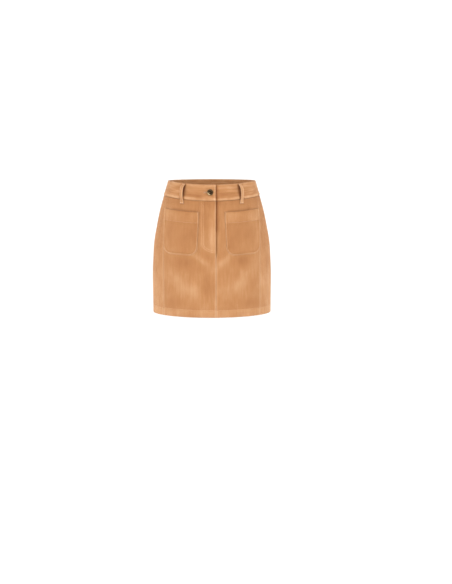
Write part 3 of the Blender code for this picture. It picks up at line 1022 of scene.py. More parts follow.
def make_panel(name, grain, low, high, lines, lift=nothing, doubled=nothing, low_fold=nothing,
               high_fold=nothing, tone=0.0, streaky=0.16, wear_and_shade_lines=()):
    """Cuts, sews and hangs one panel.

    lift and doubled give the fly's rise and second layer at an angle and drop; the folds say, for each
    drop, whether an edge is folded (1) or sewn to the next panel (0). Each of the lines given with a width
    is a place where the pile is made paler or deeper: some by wear along seams and stitches, the rest
    painted light and shade round the pockets and beside the fly's edge.
    """
    places, ribs, place, angle, first, last = ribbed_grid(OUTER_DROPS, grain, low, high)
    drop = np.broadcast_to(OUTER_DROPS[:, None], angle.shape)
    top = drop - OUTER_DROPS[0]
    side = np.minimum(place - first, last - place)
    ribs = ribs * ramp(np.minimum(side, top), *RIB_FADE)
    sink = HEM_SINK + seam_sink(top) + sewn_sink(lines, angle, drop)
    for distance, folded in ((place - first, low_fold), (last - place, high_fold)):
        fold = np.reshape(folded(OUTER_DROPS), (-1, 1))
        sink = sink + seam_sink(distance) * (1 - fold) + fold_sink(distance) * fold
    outer = surface(angle, drop, lift(angle, drop) + rib_lift(ribs) - sink)

    inner_place, inner_angle, _, _ = spread_columns(places[::RIB_COLUMNS], INNER_DROPS, grain, low, high)
    inner_drop = np.broadcast_to(INNER_DROPS[:, None], inner_angle.shape)
    layers = np.maximum(INNER_DEPTH, CLOTH + (DOUBLED - CLOTH) * doubled(inner_angle, inner_drop))
    inner = surface(inner_angle, inner_drop, lift(inner_angle, inner_drop) - layers)

    # pale where the seams' ridges rub and on the thick hem; painted shade below the waistband; then the
    # given lines' wear and painted light and shade
    hem = ramp(drop, LENGTH - HEM_TURN - 0.001, LENGTH - HEM_TURN + 0.002)
    wear_light_and_shade = 0.15 * bump(np.minimum(side, top + 0.003), 0.0022, 0.0030)
    wear_light_and_shade = wear_light_and_shade - 0.10 * ramp(top, 0.034, 0.0) + 0.07 * hem
    for wear_and_painted_light, width, change in wear_and_shade_lines:
        wear_light_and_shade = wear_light_and_shade + change * bump(away_from(wear_and_painted_light, angle, drop), 0.0, width)
    sew(name, outer, inner,
        grains=(grained(place, drop, grain), grained(inner_place, inner_drop, grain)),
        ribs=ribs, nap=nap_and_fold_shading(angle, drop) + wear_light_and_shade + tone, streaky=(streaky, streaky),
        turned=ramp(layers, CLOTH, DOUBLED),
        cut=((last - first).ravel(), OUTER_DROPS, "hung", BAND_PIECES),
        cloth=(corduroy_pile, twill_back))


def beside(angle, drop, way=-1):
    """Just before an angle, or with way 1 just past it, so that no two pieces share a face."""
    return angle + way * turn(SEAM_SLACK, angle, drop)


def past_front_seam(drop):
    return beside(seam_angle(drop), drop, way=1)


def before_front_seam(drop):
    return beside(seam_angle(drop), drop)


# %% Fronts
def above_fly_end(drop):
    return ramp(drop, FLY_END + FLY_RUN_OUT, FLY_END)


def fly_share(angle, drop):
    """1 on the fly's doubled part, falling softly to 0 round it."""
    x = across_front(angle, drop)
    return ramp(x, FLY_STITCH_X - 0.006, FLY_STITCH_X) * above_fly_end(drop)


def fly_lift(angle, drop):
    return FLY_LIFT * fly_share(angle, drop)


def underlap_lift(angle, drop):
    x = across_front(angle, drop)
    return -UNDERLAP_SINK * ramp(x, UNDERLAP_EASE_X, FLY_EDGE_X) * above_fly_end(drop)


def underlap_edge(drop):
    withdrawn = ramp(drop, FLY_END - UNDERLAP_END, FLY_END)
    return angle_at(UNDERLAP_X + (FLY_EDGE_X + SEAM_SLACK - UNDERLAP_X) * withdrawn, drop)


def fly_is_open(drop):
    return ramp(drop, FLY_END + 0.003, FLY_END - 0.001)


def pocket_light_and_shade(side):
    """Painted light on the front round the pocket, against the shadow of the gap under its edge, and
    painted shade along its mouth.
    """
    outline, mouth = ([mirrored(line, side)] for line in (pocket_outline(), pocket_mouth()))
    return [(outline, 0.0026, 0.12), (mouth, 0.0110, -0.07), (mouth, 0.0036, -0.10)]


CENTRE_SEAM = [down_front(FLY_EDGE_X, FLY_END + 0.006, LENGTH)]
UNDER_FLY_EDGE, TOP_OF_FLY_EDGE = (
    [down_front(FLY_EDGE_X, BAND_HEIGHT, end)] for end in (FLY_END, 0.140))
make_panel(
    "front_right", 0.0, lambda drop: -before_front_seam(drop),
    lambda drop: angle_at(FLY_EDGE_X - SEAM_SLACK, drop),
    [*FLY_LINES, CENTRE_STITCH, hem_stitch(-1.0, 0.07)],
    lift=fly_lift, doubled=fly_share, high_fold=fly_is_open,
    wear_and_shade_lines=[*pocket_light_and_shade(-1), (FLY_LINES, 0.0036, 0.06), (CENTRE_SEAM, 0.0030, 0.18)])
# painted shadow on the underlap beside the fly's edge: narrow down the whole edge, and broader on its upper
# part
make_panel(
    "front_left", 0.0, underlap_edge, before_front_seam, [hem_stitch(0.07, 1.0)],
    lift=underlap_lift, low_fold=fly_is_open,
    wear_and_shade_lines=[*pocket_light_and_shade(1), (UNDER_FLY_EDGE, 0.0050, -0.22), (TOP_OF_FLY_EDGE, 0.0170, -0.22),
          (CENTRE_SEAM, 0.0026, 0.08)])


# %% Sides and backs
def before_back_seam(drop):
    return np.pi - past_front_seam(drop)


def past_back_seam(drop):
    return np.pi - before_front_seam(drop)


def centre_back(drop):
    return beside(np.pi, drop)


def make_both(name, grain, low, high, lines, right_lines=(), **looks):
    """A panel on the wearer's left, and its mirror image with any more lines of its own."""
    make_panel(f"{name}_left", grain, low, high, lines, **looks)
    make_panel(f"{name}_right", -grain, lambda drop: -high(drop), lambda drop: -low(drop),
               [mirrored(line) for line in (*lines, *right_lines)], **looks)


SEAM_LINES = [beside_seam(past_front_seam, EDGE_STITCH), beside_seam(before_back_seam, -EDGE_STITCH)]
CENTRE_BACK_STITCH = beside_seam(centre_back, -EDGE_STITCH)
make_both("side", np.pi / 2, past_front_seam, before_back_seam, [*SEAM_LINES, hem_stitch(0.9, 2.25)],
          tone=0.02, streaky=0.28)
make_both("back", np.pi, past_back_seam, centre_back, [hem_stitch(2.1, np.pi)],
          right_lines=[CENTRE_BACK_STITCH], streaky=0.22)

# %% [markdown]
# ## Waistband
#
# The band is a strip folded double, in two halves that meet at the centre back. Its ribs lie along
# it, and both its long edges are topstitched. In front the wearer's right end laps over the left
# one and buttons. Each half is a shell as the panels are, only with its grain turned: the fine
# columns now run from the lower edge to the top.

# %% Where the belt loops are
LOOP_WIDTH = 0.0105
LOOP_CLOTH = 0.0022
LOOP_FRONT_X = 0.0962
LOOP_LEAN = 0.0082
LOOP_BEND = 0.048
LOOP_BACK_X = 0.1000
LOOP_STITCH = 0.0021
LOOP_STITCH_REACH = 0.0009
LoopPoint = namedtuple("LoopPoint", "drop lift")
LOOP_PATH = (
    LoopPoint(0.0014, 0.0036),
    LoopPoint(0.0048, 0.0052),
    LoopPoint(0.0090, 0.0098),
    LoopPoint(0.0152, 0.0124),
    LoopPoint(0.0257, 0.0122),
    LoopPoint(0.0371, 0.0098),
    LoopPoint(0.0467, 0.0066),
    LoopPoint(0.0525, 0.0038),
    LoopPoint(0.0565, 0.0026),
    LoopPoint(0.0636, 0.0026),
)


def front_loop(drop):
    """The middle of a front loop; its head is sewn nearer the centre than its foot."""
    lean = LOOP_LEAN * np.clip(1 - drop / LOOP_BEND, 0.0, None) ** 1.5
    return angle_at(LOOP_FRONT_X - lean, drop)


LOOPS = {
    "front_right": lambda drop: -front_loop(drop),
    "front_left": front_loop,
    "back_right": lambda drop: angle_at(LOOP_BACK_X, drop) - np.pi,
    "back_left": lambda drop: np.pi - angle_at(LOOP_BACK_X, drop),
    "center_back": lambda drop: np.full_like(drop, np.pi),
}
print(len(LOOPS), "belt loops")

# %% Waistband
BAND_RIBS = 17
BAND_RIB = BAND_HEIGHT / BAND_RIBS
BAND_RIB_FADE = (0.0004, 0.0020)
BAND_CUT_DROP = 0.02            # the band's length is taken at this drop
BAND_CUT_RADIUS = 0.128         # and this many metres for each radian
BAND_BULK = (0.0052, 0.0084)    # the thick seam inside the lower edge: its middle and its width
BAND_BULK_HEIGHT = 0.0010


def band_over_lift(angle, drop):
    over = ramp(across_front(angle, drop), BAND_OVER_X, BAND_OVER_X + BAND_OVER_EASE)
    return BAND_LIFT + BAND_OVER_LIFT * over * (np.cos(angle) > 0)


def band_under_lift(angle, drop):
    under = ramp(across_front(angle, drop), UNDERLAP_EASE_X, FLY_EDGE_X + GAP)
    return BAND_LIFT - BAND_UNDER_SINK * under * (np.cos(angle) > 0)


def band_lines(start, end):
    angle = np.linspace(start, end, round((end - start) * BAND_RADIUS / STITCH_STEP))
    return [(angle, np.full_like(angle, drop)) for drop in (EDGE_STITCH, BAND_HEIGHT - EDGE_STITCH)]


def end_steps(length, ends=(0.0, 0.0004, 0.0010, 0.0018, 0.0030), step=0.0045):
    """Places along a piece: closer together at both ends, where its edges are round."""
    inner = np.linspace(ends[-1], length - ends[-1], max(2, round((length - 2 * ends[-1]) / step)))
    return np.concatenate((ends[:-1], inner, length - np.array(ends[:-1])[::-1]))


def make_band(name, low, high, lift, lines):
    """Half of the waistband; low and high are its ends' angles at a drop."""
    places, ribs = wale_columns(0.0, BAND_HEIGHT - 1e-9, BAND_RIB)
    inner_places = places[::RIB_COLUMNS]
    reach = (high(BAND_CUT_DROP) - low(BAND_CUT_DROP)) * BAND_CUT_RADIUS
    share = (end_steps(reach) / reach)[:, None]
    run = share * reach

    def grid(drops, depth):
        angle = low(drops) + (high(drops) - low(drops)) * share
        return surface(angle, drops, lift(angle, drops) - depth), angle

    drop = BAND_HEIGHT - places
    ends = np.minimum(share, 1 - share) * reach
    rim = np.minimum(np.minimum(places, drop), ends)
    angle = low(drop) + (high(drop) - low(drop)) * share
    full_drop = np.broadcast_to(drop, angle.shape)
    ribs = ribs * ramp(rim, *BAND_RIB_FADE)
    bulk = bump(places, *BAND_BULK)
    sink = fold_sink(rim) + sewn_sink(lines, angle, full_drop) - BAND_BULK_HEIGHT * bulk
    outer, angle = grid(drop, sink - rib_lift(ribs))
    inner_drop = drop[::RIB_COLUMNS]
    inner_sink = np.maximum(fold_sink(inner_drop), fold_sink(inner_places, 0.0005))
    inner, _ = grid(inner_drop, DOUBLED - np.maximum(inner_sink, fold_sink(ends)))

    # the ridge over the bulky seam is paler, rubbed unevenly and with a painted highlight where it faces
    # the light above; the top edge is paler, partly rubbed and partly a painted highlight, with painted
    # shade just above the ridge; paler beside the side seams and at the band's ends
    aside = np.abs(angle)
    wear_light_and_shade = 0.22 * bulk * uneven(run, 0.0065)
    wear_light_and_shade = wear_light_and_shade - 0.04 * bump(places, 0.0150, 0.0150) + 0.05 * ramp(drop, 0.016, 0.004)
    wear_light_and_shade = wear_light_and_shade + 0.03 * ramp(aside, 0.70, 0.85) * ramp(aside, 1.25, 1.05)
    wear_light_and_shade = wear_light_and_shade + 0.12 * bump(ends, 0.0020, 0.0030)
    # painted shadow on the lower layer beside the upper layer's end, and on the band under the loops
    if name.endswith("left"):
        wear_light_and_shade = wear_light_and_shade - 0.55 * bump(angle - angle_at(FLY_EDGE_X, BAND_CUT_DROP), 0.0, 0.05)
    for centre in LOOPS.values():
        around = (angle - centre(full_drop) + np.pi) % (2 * np.pi) - np.pi
        away = np.abs(around) / turn(1.0, angle, full_drop)
        under = 1 - ramp(away, LOOP_WIDTH * 0.4, LOOP_WIDTH * 0.9)
        wear_light_and_shade = wear_light_and_shade - 0.55 * under * ramp(drop, 0.001, 0.006)
    return sew(
        name, outer, inner,
        grains=(grained(places, run, 9.0 + low(BAND_CUT_DROP)), grained(inner_places, run, 4.0)),
        ribs=ribs, nap=nap_and_fold_shading(angle, full_drop) + wear_light_and_shade,
        streaky=(0.34 + 0.16 * ramp(aside, 0.60, 0.90), 0.34), turned=1.0,
        cut=(np.full(2, reach), (0.0, BAND_HEIGHT), "folded", ()), cloth=(corduroy_pile,))


BAND_OVER_LINES = band_lines(-3.12, 0.082)
band_right = make_band("waistband_right", lambda drop: -centre_back(drop),
                       lambda drop: angle_at(FLY_EDGE_X, drop), band_over_lift, BAND_OVER_LINES)
make_band("waistband_left", lambda drop: angle_at(BAND_UNDER_X, drop), centre_back,
          band_under_lift, band_lines(-0.13, 3.12))

# %% [markdown]
# ## Patch pockets
#
# A patch pocket is a shield of cloth laid on the front. Its sides and its round lower corners are
# turned under and stitched down, so the rim is plump, and its mouth is a deep hem that stands a
# little off the skirt, because hands have pulled at it.

# %% Pockets
POCKET_RIM = np.array((0.0, 0.0004, 0.0010, 0.0018, 0.0030, 0.0046))    # rows round the edge
POCKET_TURNED = 0.0006          # how far the doubled rim and hem stand up
MOUTH_SAG = 0.0022


def pocket_rows():
    corner = np.radians(np.linspace(10, 62, 9))
    return np.concatenate((
        POCKET_TOP + POCKET_RIM,
        np.arange(POCKET_TOP + 0.009, POCKET_TOP + POCKET_HEM - 0.003, 0.005),
        POCKET_TOP + POCKET_HEM + np.array((-0.0018, -0.0008, 0.0, 0.0008, 0.0018)),
        np.arange(POCKET_TOP + POCKET_HEM + 0.006, POCKET_BOTTOM - POCKET_CORNER, 0.006),
        POCKET_BOTTOM - POCKET_CORNER * (1 - np.sin(corner)),
        (POCKET_BOTTOM - POCKET_RIM)[::-1],
    ))


def pocket_lift(angle, drop):
    """The pocket's face: close to the front below, and standing off it at the mouth."""
    inner, outer = pocket_edges(np.full_like(drop, POCKET_TOP + 0.01))
    middle = (np.abs(angle) - inner) / (outer - inner)
    sag = MOUTH_SAG * np.sin(np.pi * np.clip(middle, 0.0, 1.0)) ** 2
    gape = (POCKET_GAPE + sag) * ramp(drop, POCKET_TOP + POCKET_GAPE_DEPTH, POCKET_TOP)
    return POCKET_CLEARANCE + CLOTH + gape


def make_pocket(name, side):
    drops = pocket_rows()
    lines = [pocket_outline(EDGE_STITCH), pocket_hem_stitch()]
    _, ribs, place, angle, first, last = ribbed_grid(
        drops, 0.0, lambda drop: pocket_edges(drop)[0], lambda drop: pocket_edges(drop)[1])
    drop = np.broadcast_to(drops[:, None], angle.shape)
    mouth = drop - POCKET_TOP
    rim = np.minimum(away_from([pocket_outline()], angle, drop), mouth)
    ribs = ribs * ramp(rim, *RIB_FADE)
    hem = ramp(mouth, POCKET_HEM + 0.0012, POCKET_HEM - 0.0012)
    doubled = np.maximum(hem, ramp(rim, 0.010, 0.006))
    sink = fold_sink(rim) + sewn_sink(lines, angle, drop) - POCKET_TURNED * doubled
    outer = surface(side * angle, drop, pocket_lift(angle, drop) + rib_lift(ribs) - sink)
    inner_place, inner_angle, inner_drop = (part[:, ::RIB_COLUMNS] for part in (place, angle, drop))
    inner = surface(side * inner_angle, inner_drop, pocket_lift(inner_angle, inner_drop) - CLOTH)

    inner_edge, outer_edge = pocket_edges(drop)
    outwards = np.clip((angle - inner_edge) / (outer_edge - inner_edge), 0.0, 1.0)
    low = ramp(drop, POCKET_BOTTOM - 0.030, POCKET_BOTTOM - 0.006)
    # the turned rim is pale, with a deeper line inside it, and unevenly rubbed
    wear_light_and_shade = (0.15 + 0.02 * outwards**2) * bump(rim, 0.0010, 0.0038) - 0.06 * bump(rim, 0.0062, 0.0032)
    wear_light_and_shade = wear_light_and_shade * ramp(mouth, 0.004, 0.012)
    wear_light_and_shade = wear_light_and_shade * uneven(mouth + 1.3 * place, 0.0060) * 1.3
    # painted shade along the mouth, where it gapes, strongest towards the centre; the hem and the outer
    # side are pale
    gape_shade_share = 0.3 + 0.7 * bump(outwards, 0.32, 0.42)
    wear_light_and_shade = wear_light_and_shade + 0.03 * low - gape_shade_share * (0.13 * bump(mouth, 0.0, 0.0050) + 0.06 * bump(mouth, 0.0, 0.0140))
    wear_light_and_shade = wear_light_and_shade + 0.05 * hem - 0.04 - 0.03 * bump(mouth, POCKET_HEM + 0.004, 0.007)
    wear_light_and_shade = wear_light_and_shade + 0.09 * (1 - 0.6 * low) * bump(outwards, 0.92, 0.18)
    sew(f"pocket_{name}", outer, inner,
        grains=(grained(place, drop, 6.0 + side), grained(inner_place, inner_drop, 6.0)),
        ribs=ribs, nap=nap_and_fold_shading(side * angle, drop) + wear_light_and_shade, streaky=(0.16, 0.16), turned=0.0,
        cut=((last - first).ravel(), drops, "hung", (f"front_{name}_corduroy",)),
        cloth=(corduroy_pile, twill_back))


SIDES = {"left": 1, "right": -1}
for name, side in SIDES.items():
    make_pocket(name, side)

# %% [markdown]
# ## Belt loops
#
# A loop is a strip folded in three, stitched down both its edges, and tacked at each end. It arches
# off the band, so that a belt can pass, and its foot is folded under, which makes it thick there.

# %% Belt loops
LOOP_RIB_FADE = (0.0003, 0.0016)
LOOP_EDGE = 0.0011              # the radius of its round edges outside, and inside
LOOP_BACK_EDGE = 0.0009
FOOT_SPREAD = 0.22              # the foot is this much wider
FOOT_WIDENS = (0.016, 0.008)    # and reaches that between these distances from its end
FOOT_RISE = 0.0010              # it is this much thicker, in the same way
FOOT_THICKENS = (0.0095, 0.0070)
LOOP_RUN = run_along(np.array(LOOP_PATH))
LOOP_LENGTH = LOOP_RUN[-1]


def loop_path(share):
    """Drop and lift along a loop, from its head at 0 to its foot at 1."""
    return np.array([smooth(LOOP_RUN, column, share * LOOP_LENGTH) for column in np.array(LOOP_PATH).T])


def loop_point(centre, share, aside, depth, step=0.01):
    """A point of a loop: along it, to one side of its middle, and so deep under its face."""
    drop, lift = loop_path(share)
    ahead, behind = (loop_path(np.clip(share + offset, 0.0, 1.0)) for offset in (step, -step))
    down, out = (ahead - behind) / np.linalg.norm(ahead - behind, axis=0)
    angle = centre(drop) + turn(aside, centre(drop), drop)
    return surface(angle, drop + depth * out, lift - depth * down)


def make_loop(where, centre):
    half = LOOP_WIDTH / 2
    share = (end_steps(LOOP_LENGTH, step=0.0022) / LOOP_LENGTH)[:, None]
    places, ribs = wale_columns(-half, half)
    place = np.clip(places, -half, half)
    from_foot = (1 - share) * LOOP_LENGTH
    side_rim = half - np.abs(place)
    end_rim = np.minimum(share, 1 - share) * LOOP_LENGTH
    rim = np.minimum(side_rim, end_rim)
    ribs = ribs * ramp(rim, *LOOP_RIB_FADE)
    sewn = STITCH_SINK * np.exp(-(((side_rim - LOOP_STITCH) / LOOP_STITCH_REACH) ** 2))
    sink = fold_sink(rim, LOOP_EDGE) + sewn - FOOT_RISE * ramp(from_foot, *FOOT_THICKENS)
    aside = place * (1 + FOOT_SPREAD * ramp(from_foot, *FOOT_WIDENS))
    outer = loop_point(centre, share, aside, sink - rib_lift(ribs))
    back = LOOP_CLOTH - fold_sink(rim, LOOP_BACK_EDGE)[:, ::RIB_COLUMNS]
    inner = loop_point(centre, share, aside[:, ::RIB_COLUMNS], back)
    grain = grained(place, share * LOOP_LENGTH, 20.0 + float(centre(0.03)))
    sew(f"belt_loop_{where}", outer, inner, grains=(grain, grain[:, ::RIB_COLUMNS]), ribs=ribs,
        nap=0.06 + 0.16 * bump(side_rim, 0.0010, 0.0022) + 0.10 * bump(end_rim, 0.0, 0.006),
        streaky=(0.30, 0.30), turned=1.0,
        cut=(np.full(2, LOOP_WIDTH), (0.0, LOOP_LENGTH), "folded", BAND_PIECES), cloth=(corduroy_pile,))


for where, centre in LOOPS.items():
    make_loop(where, centre)

# %% [markdown]
# ## Button and buttonhole
#
# The button is a round cap with a rolled rim, a hollow ring and a low dome, on a shank that goes
# through the band. It is an outline spun round its axis, as on a lathe. A Screw modifier would give
# the same shape, but spun points can each carry how far they are rubbed. The keyhole buttonhole is
# cut with a boolean, and its edge is overcast with thread.

# %% Button
BUTTON_X = -0.0054
BUTTON_DROP = 0.0236
SHANK_RADIUS = 0.0022
BUTTONHOLE_LENGTH = 0.020
BUTTONHOLE_WIDTH = 0.0011
EYE_RADIUS = 0.0028
# radius and height out of the band in metres, and how far the dark film is rubbed off
BUTTON_PROFILE = (
    (0.0, 0.00450, 0.9), (0.0011, 0.00446, 0.8), (0.0024, 0.00425, 0.6), (0.0036, 0.00385, 0.3),
    (0.0044, 0.00345, 0.0), (0.0052, 0.00322, 0.1), (0.0058, 0.00330, 0.6), (0.0064, 0.00358, 1.0),
    (0.0070, 0.00382, 1.0), (0.0077, 0.00384, 1.0), (0.0085, 0.00355, 0.8), (0.0092, 0.00300, 0.3),
    (0.0096, 0.00225, 0.0), (0.0097, 0.00150, 0.0), (0.0095, 0.00090, 0.0), (0.0088, 0.00055, 0.0),
    (0.0077, 0.00045, 0.0), (SHANK_RADIUS, 0.00045, 0.0), (SHANK_RADIUS, -0.0036, 0.0),
    (0.0, -0.0036, 0.0),
)


def button_frame():
    """Where the button sits: +Z of this frame points out of the band, and X runs along it."""
    angle = angle_at(BUTTON_X, BUTTON_DROP)
    seat = surface(angle, BUTTON_DROP, BAND_LIFT + BAND_OVER_LIFT + GAP)
    normal = Vector(outward(angle, BUTTON_DROP))
    along_band = Vector((1.0, 0.0, 0.0))
    along_band = (along_band - normal * along_band.dot(normal)).normalized()
    frame = Matrix((along_band, normal.cross(along_band), normal)).transposed().to_4x4()
    frame.translation = Vector(seat)
    return frame


def spin_outline(edit, points, steps, **settings):
    """Turns an outline of points round the Z axis."""
    edges = [edit.edges.new(pair) for pair in zip(points[:-1], points[1:])]
    bmesh.ops.spin(edit, geom=points + edges, cent=(0, 0, 0), axis=(0, 0, 1),
                   angle=2 * np.pi, steps=steps, use_merge=True, **settings)


def brighten_glint_side(mesh, aside=(-0.7, -0.7), least=0.42):
    """Keeps the dark film on, except towards one side, which is made bright brass: partly rubbed there by
    thumb and buttonhole, and partly a painted highlight that gives the glint on the lower left.
    """
    wear_and_painted_light = mesh.attributes["wear_and_painted_light"].data
    for vertex, value in zip(mesh.vertices, wear_and_painted_light):
        reach = max(np.hypot(vertex.co.x, vertex.co.y), 0.0005)
        facing = (vertex.co.x * aside[0] + vertex.co.y * aside[1]) / reach
        value.value *= least + (1 - least) * ramp(facing, 0.45, 1.0)


def make_button():
    edit = bmesh.new()
    wear_and_painted_light = edit.verts.layers.float.new("wear_and_painted_light")
    points = []
    for radius, height, wear in BUTTON_PROFILE:
        points.append(edit.verts.new((radius, 0.0, height)))
        points[-1][wear_and_painted_light] = wear
    spin_outline(edit, points, 48)
    mesh = finish_mesh(mesh_from(edit, "button_cap"), weld=0.00001, sharp_deg=60)
    # the lower-left side is made bright, a painted highlight that gives the glint there
    brighten_glint_side(mesh)
    mesh.transform(button_frame())
    add_piece("button_brass", mesh, (old_brass,), stands_for="button")


make_button()


# %% Buttonhole
def cut_buttonhole(band):
    """A round eye for the shank, and a narrow slit away from the band's end."""
    edit = bmesh.new()
    reach = 0.012
    half = BUTTONHOLE_WIDTH / 2
    turns = np.linspace(-0.86 * np.pi, 0.86 * np.pi, 21)
    outline = [(EYE_RADIUS * np.cos(around), EYE_RADIUS * np.sin(around)) for around in turns]
    end = -BUTTONHOLE_LENGTH
    outline += [(end + half, half), (end, 0.0), (end + half, -half)]
    below, above = ([edit.verts.new((x, y, z)) for x, y in outline] for z in (-reach, reach))
    edit.faces.new(below[::-1])
    edit.faces.new(above)
    for this in range(len(outline)):
        after = (this + 1) % len(outline)
        edit.faces.new((below[this], below[after], above[after], above[this]))
    bmesh.ops.recalc_face_normals(edit, faces=edit.faces)
    mesh = mesh_from(edit, "buttonhole_cutter")
    mesh.transform(button_frame())
    cutter = place_object("buttonhole_cutter", mesh)
    cut = band.modifiers.new("Buttonhole", "BOOLEAN")
    cut.operation, cut.solver, cut.object = "DIFFERENCE", "EXACT", cutter
    bpy.context.view_layer.update()
    evaluated = band.evaluated_get(bpy.context.evaluated_depsgraph_get())
    cut_mesh = bpy.data.meshes.new_from_object(evaluated)
    band.modifiers.clear()
    band.data = cut_mesh
    bpy.data.objects.remove(cutter)
    return outline


buttonhole_outline = cut_buttonhole(band_right)
print(band_right.name, len(band_right.data.polygons), "faces with its buttonhole")

# %% [markdown]
# ## Zip
#
# Behind the fly a closed zip is sewn between the fronts. Little of it shows, only from inside, but
# its parts are simple: a strip of tape, a row of interlocked teeth, and a slider at the top with its
# pull hanging down.

# %% Zip
ZIP_TAPE_X = 0.0130
ZIP_TAPE_CLOTH = 0.0006
ZIP_TOP = 0.051
ZIP_BOTTOM = 0.209
ZIP_LIFT = -UNDERLAP_SINK - CLOTH
ZIP_CORD = 0.0004               # the tape is thicker beside the teeth, where a cord is woven in
TOOTH_PITCH = 0.0020
TOOTH = (0.0036, 0.0011, 0.0012)        # across, along and out of the tape
TOOTH_BEVEL = 0.00025

# parts of the slider: a size as above, a place aside and down from the zip's top, how far it
# stands out, and the width of its round edges
SLIDER_LIFT = ZIP_LIFT + 0.0013 + GAP
SliderPart = namedtuple("SliderPart", "size aside down out bevel")
SLIDER = (
    SliderPart((0.0070, 0.0098, 0.0009), 0.0, 0.0062, 0.0005, 0.0003),             # its plate
    SliderPart((0.0018, 0.0060, 0.0008), 0.0, 0.0062, 0.0009, 0.0003),             # its bridge
    SliderPart((0.0009, 0.0170, 0.0007), -0.00165, 0.0205, 0.0006, 0.00025),       # the pull's sides
    SliderPart((0.0009, 0.0170, 0.0007), 0.00165, 0.0205, 0.0006, 0.00025),
    SliderPart((0.0042, 0.0014, 0.0007), 0.0, 0.0122, 0.0006, 0.00025),            # and its bars
    SliderPart((0.0042, 0.0014, 0.0007), 0.0, 0.0225, 0.0006, 0.00025),
    SliderPart((0.0042, 0.0014, 0.0007), 0.0, 0.0295, 0.0006, 0.00025),
)


def front_frame(x, drop, lift):
    """A frame on the front: X to the wearer's left, Y up along the cloth, Z outwards."""
    angle = angle_at(x, drop)
    normal = Vector(outward(angle, drop))
    up = Vector(ring_point(angle, drop - 0.001) - ring_point(angle, drop + 0.001))
    up = (up - normal * up.dot(normal)).normalized()
    frame = Matrix((up.cross(normal), up, normal)).transposed().to_4x4()
    frame.translation = Vector(ring_point(angle, drop)) + normal * lift
    return frame


def make_tape():
    drops = np.linspace(ZIP_TOP, ZIP_BOTTOM, 40)
    across = np.linspace(-ZIP_TAPE_X, ZIP_TAPE_X, 2 * RIB_COLUMNS + 1)
    angle = angle_at(across[None, :], drops[:, None])
    drop = np.broadcast_to(drops[:, None], angle.shape)
    cord = ZIP_CORD * bump(np.abs(across), 0.0032, 0.0012)
    outer = surface(angle, drop, ZIP_LIFT - GAP + cord * 0.5)
    inner = surface(angle, drop, ZIP_LIFT - GAP - ZIP_TAPE_CLOTH - cord)[:, ::RIB_COLUMNS]
    grain = grained(across, drop, 30.0)
    mesh = cloth_mesh("zip_tape_cloth", outer, inner, {"grain": (grain, grain[:, ::RIB_COLUMNS])})
    tape = add_piece("zip_tape_woven", mesh, (zip_tape_weave, zip_tape_weave),
                     stands_for="zip_tape")
    note_cut(tape, np.full(len(drops), 2 * ZIP_TAPE_X), drops, "hung", ("front_left_corduroy",))


def make_metal(name, blocks, wear, stands_for):
    """Zip metal: blocks with round edges, each a size, a frame and the edges' width."""
    edit = bmesh.new()
    for size, frame, bevel in blocks:
        block = bmesh.ops.create_cube(edit, size=1.0, matrix=frame @ Matrix.Diagonal((*size, 1.0)))
        edges = {edge for vertex in block["verts"] for edge in vertex.link_edges}
        bmesh.ops.bevel(edit, geom=list(edges), offset=bevel, segments=2, profile=0.6, affect="EDGES")
    mesh = shaded(mesh_from(edit, f"{name}_blocks"), 40)
    mark_points(mesh, "wear_and_painted_light", np.full((len(mesh.vertices), 1), wear))
    add_piece(name, mesh, (zip_brass,), stands_for=stands_for)


def teeth():
    """Two rows of teeth, each half a pitch past the other, meeting at the middle."""
    for drop in np.arange(ZIP_TOP + 0.0015, ZIP_BOTTOM - 0.002, TOOTH_PITCH):
        for side, shift in ((-1, 0.0), (1, TOOTH_PITCH / 2)):
            frame = front_frame(side * 0.0009, drop + shift, ZIP_LIFT + TOOTH[2] / 2)
            yield TOOTH, frame, TOOTH_BEVEL


def slider_parts():
    for part in SLIDER:
        frame = front_frame(part.aside, ZIP_TOP + part.down, SLIDER_LIFT + part.out)
        yield part.size, frame, part.bevel


make_tape()
make_metal("zip_teeth_brass", teeth(), 0.6, stands_for="zip_chain")
make_metal("zip_slider_brass", slider_parts(), 0.8, stands_for="zip_slider")

# %% [markdown]
# ## Topstitching
#
# Every stitch is a short bead of thread whose ends dive into the cloth. They are modelled one by
# one, as low tubes with five sides, because a row of real beads catches the light where a painted
# dash can't. A sewing machine makes about eight to the inch on corduroy. The thread is drawn
# 0.6 mm thick, about twice its real thickness, because a real one would be too fine to show.

# %% Stitches
STITCH = 0.0032
STITCH_SHOWN = 0.0027
THREAD_RADIUS = 0.00030
THREAD_DEPTH = STITCH_SINK - THREAD_RADIUS / 2
# along a stitch: place, radius as a share, and how deep it lies
BEAD = (
    (0.0, 0.35, 0.00035), (0.16, 0.9, 0.00008), (0.5, 1.0, 0.0), (0.84, 0.9, 0.00008),
    (1.0, 0.35, 0.00035))
BEAD_SIDES = 5


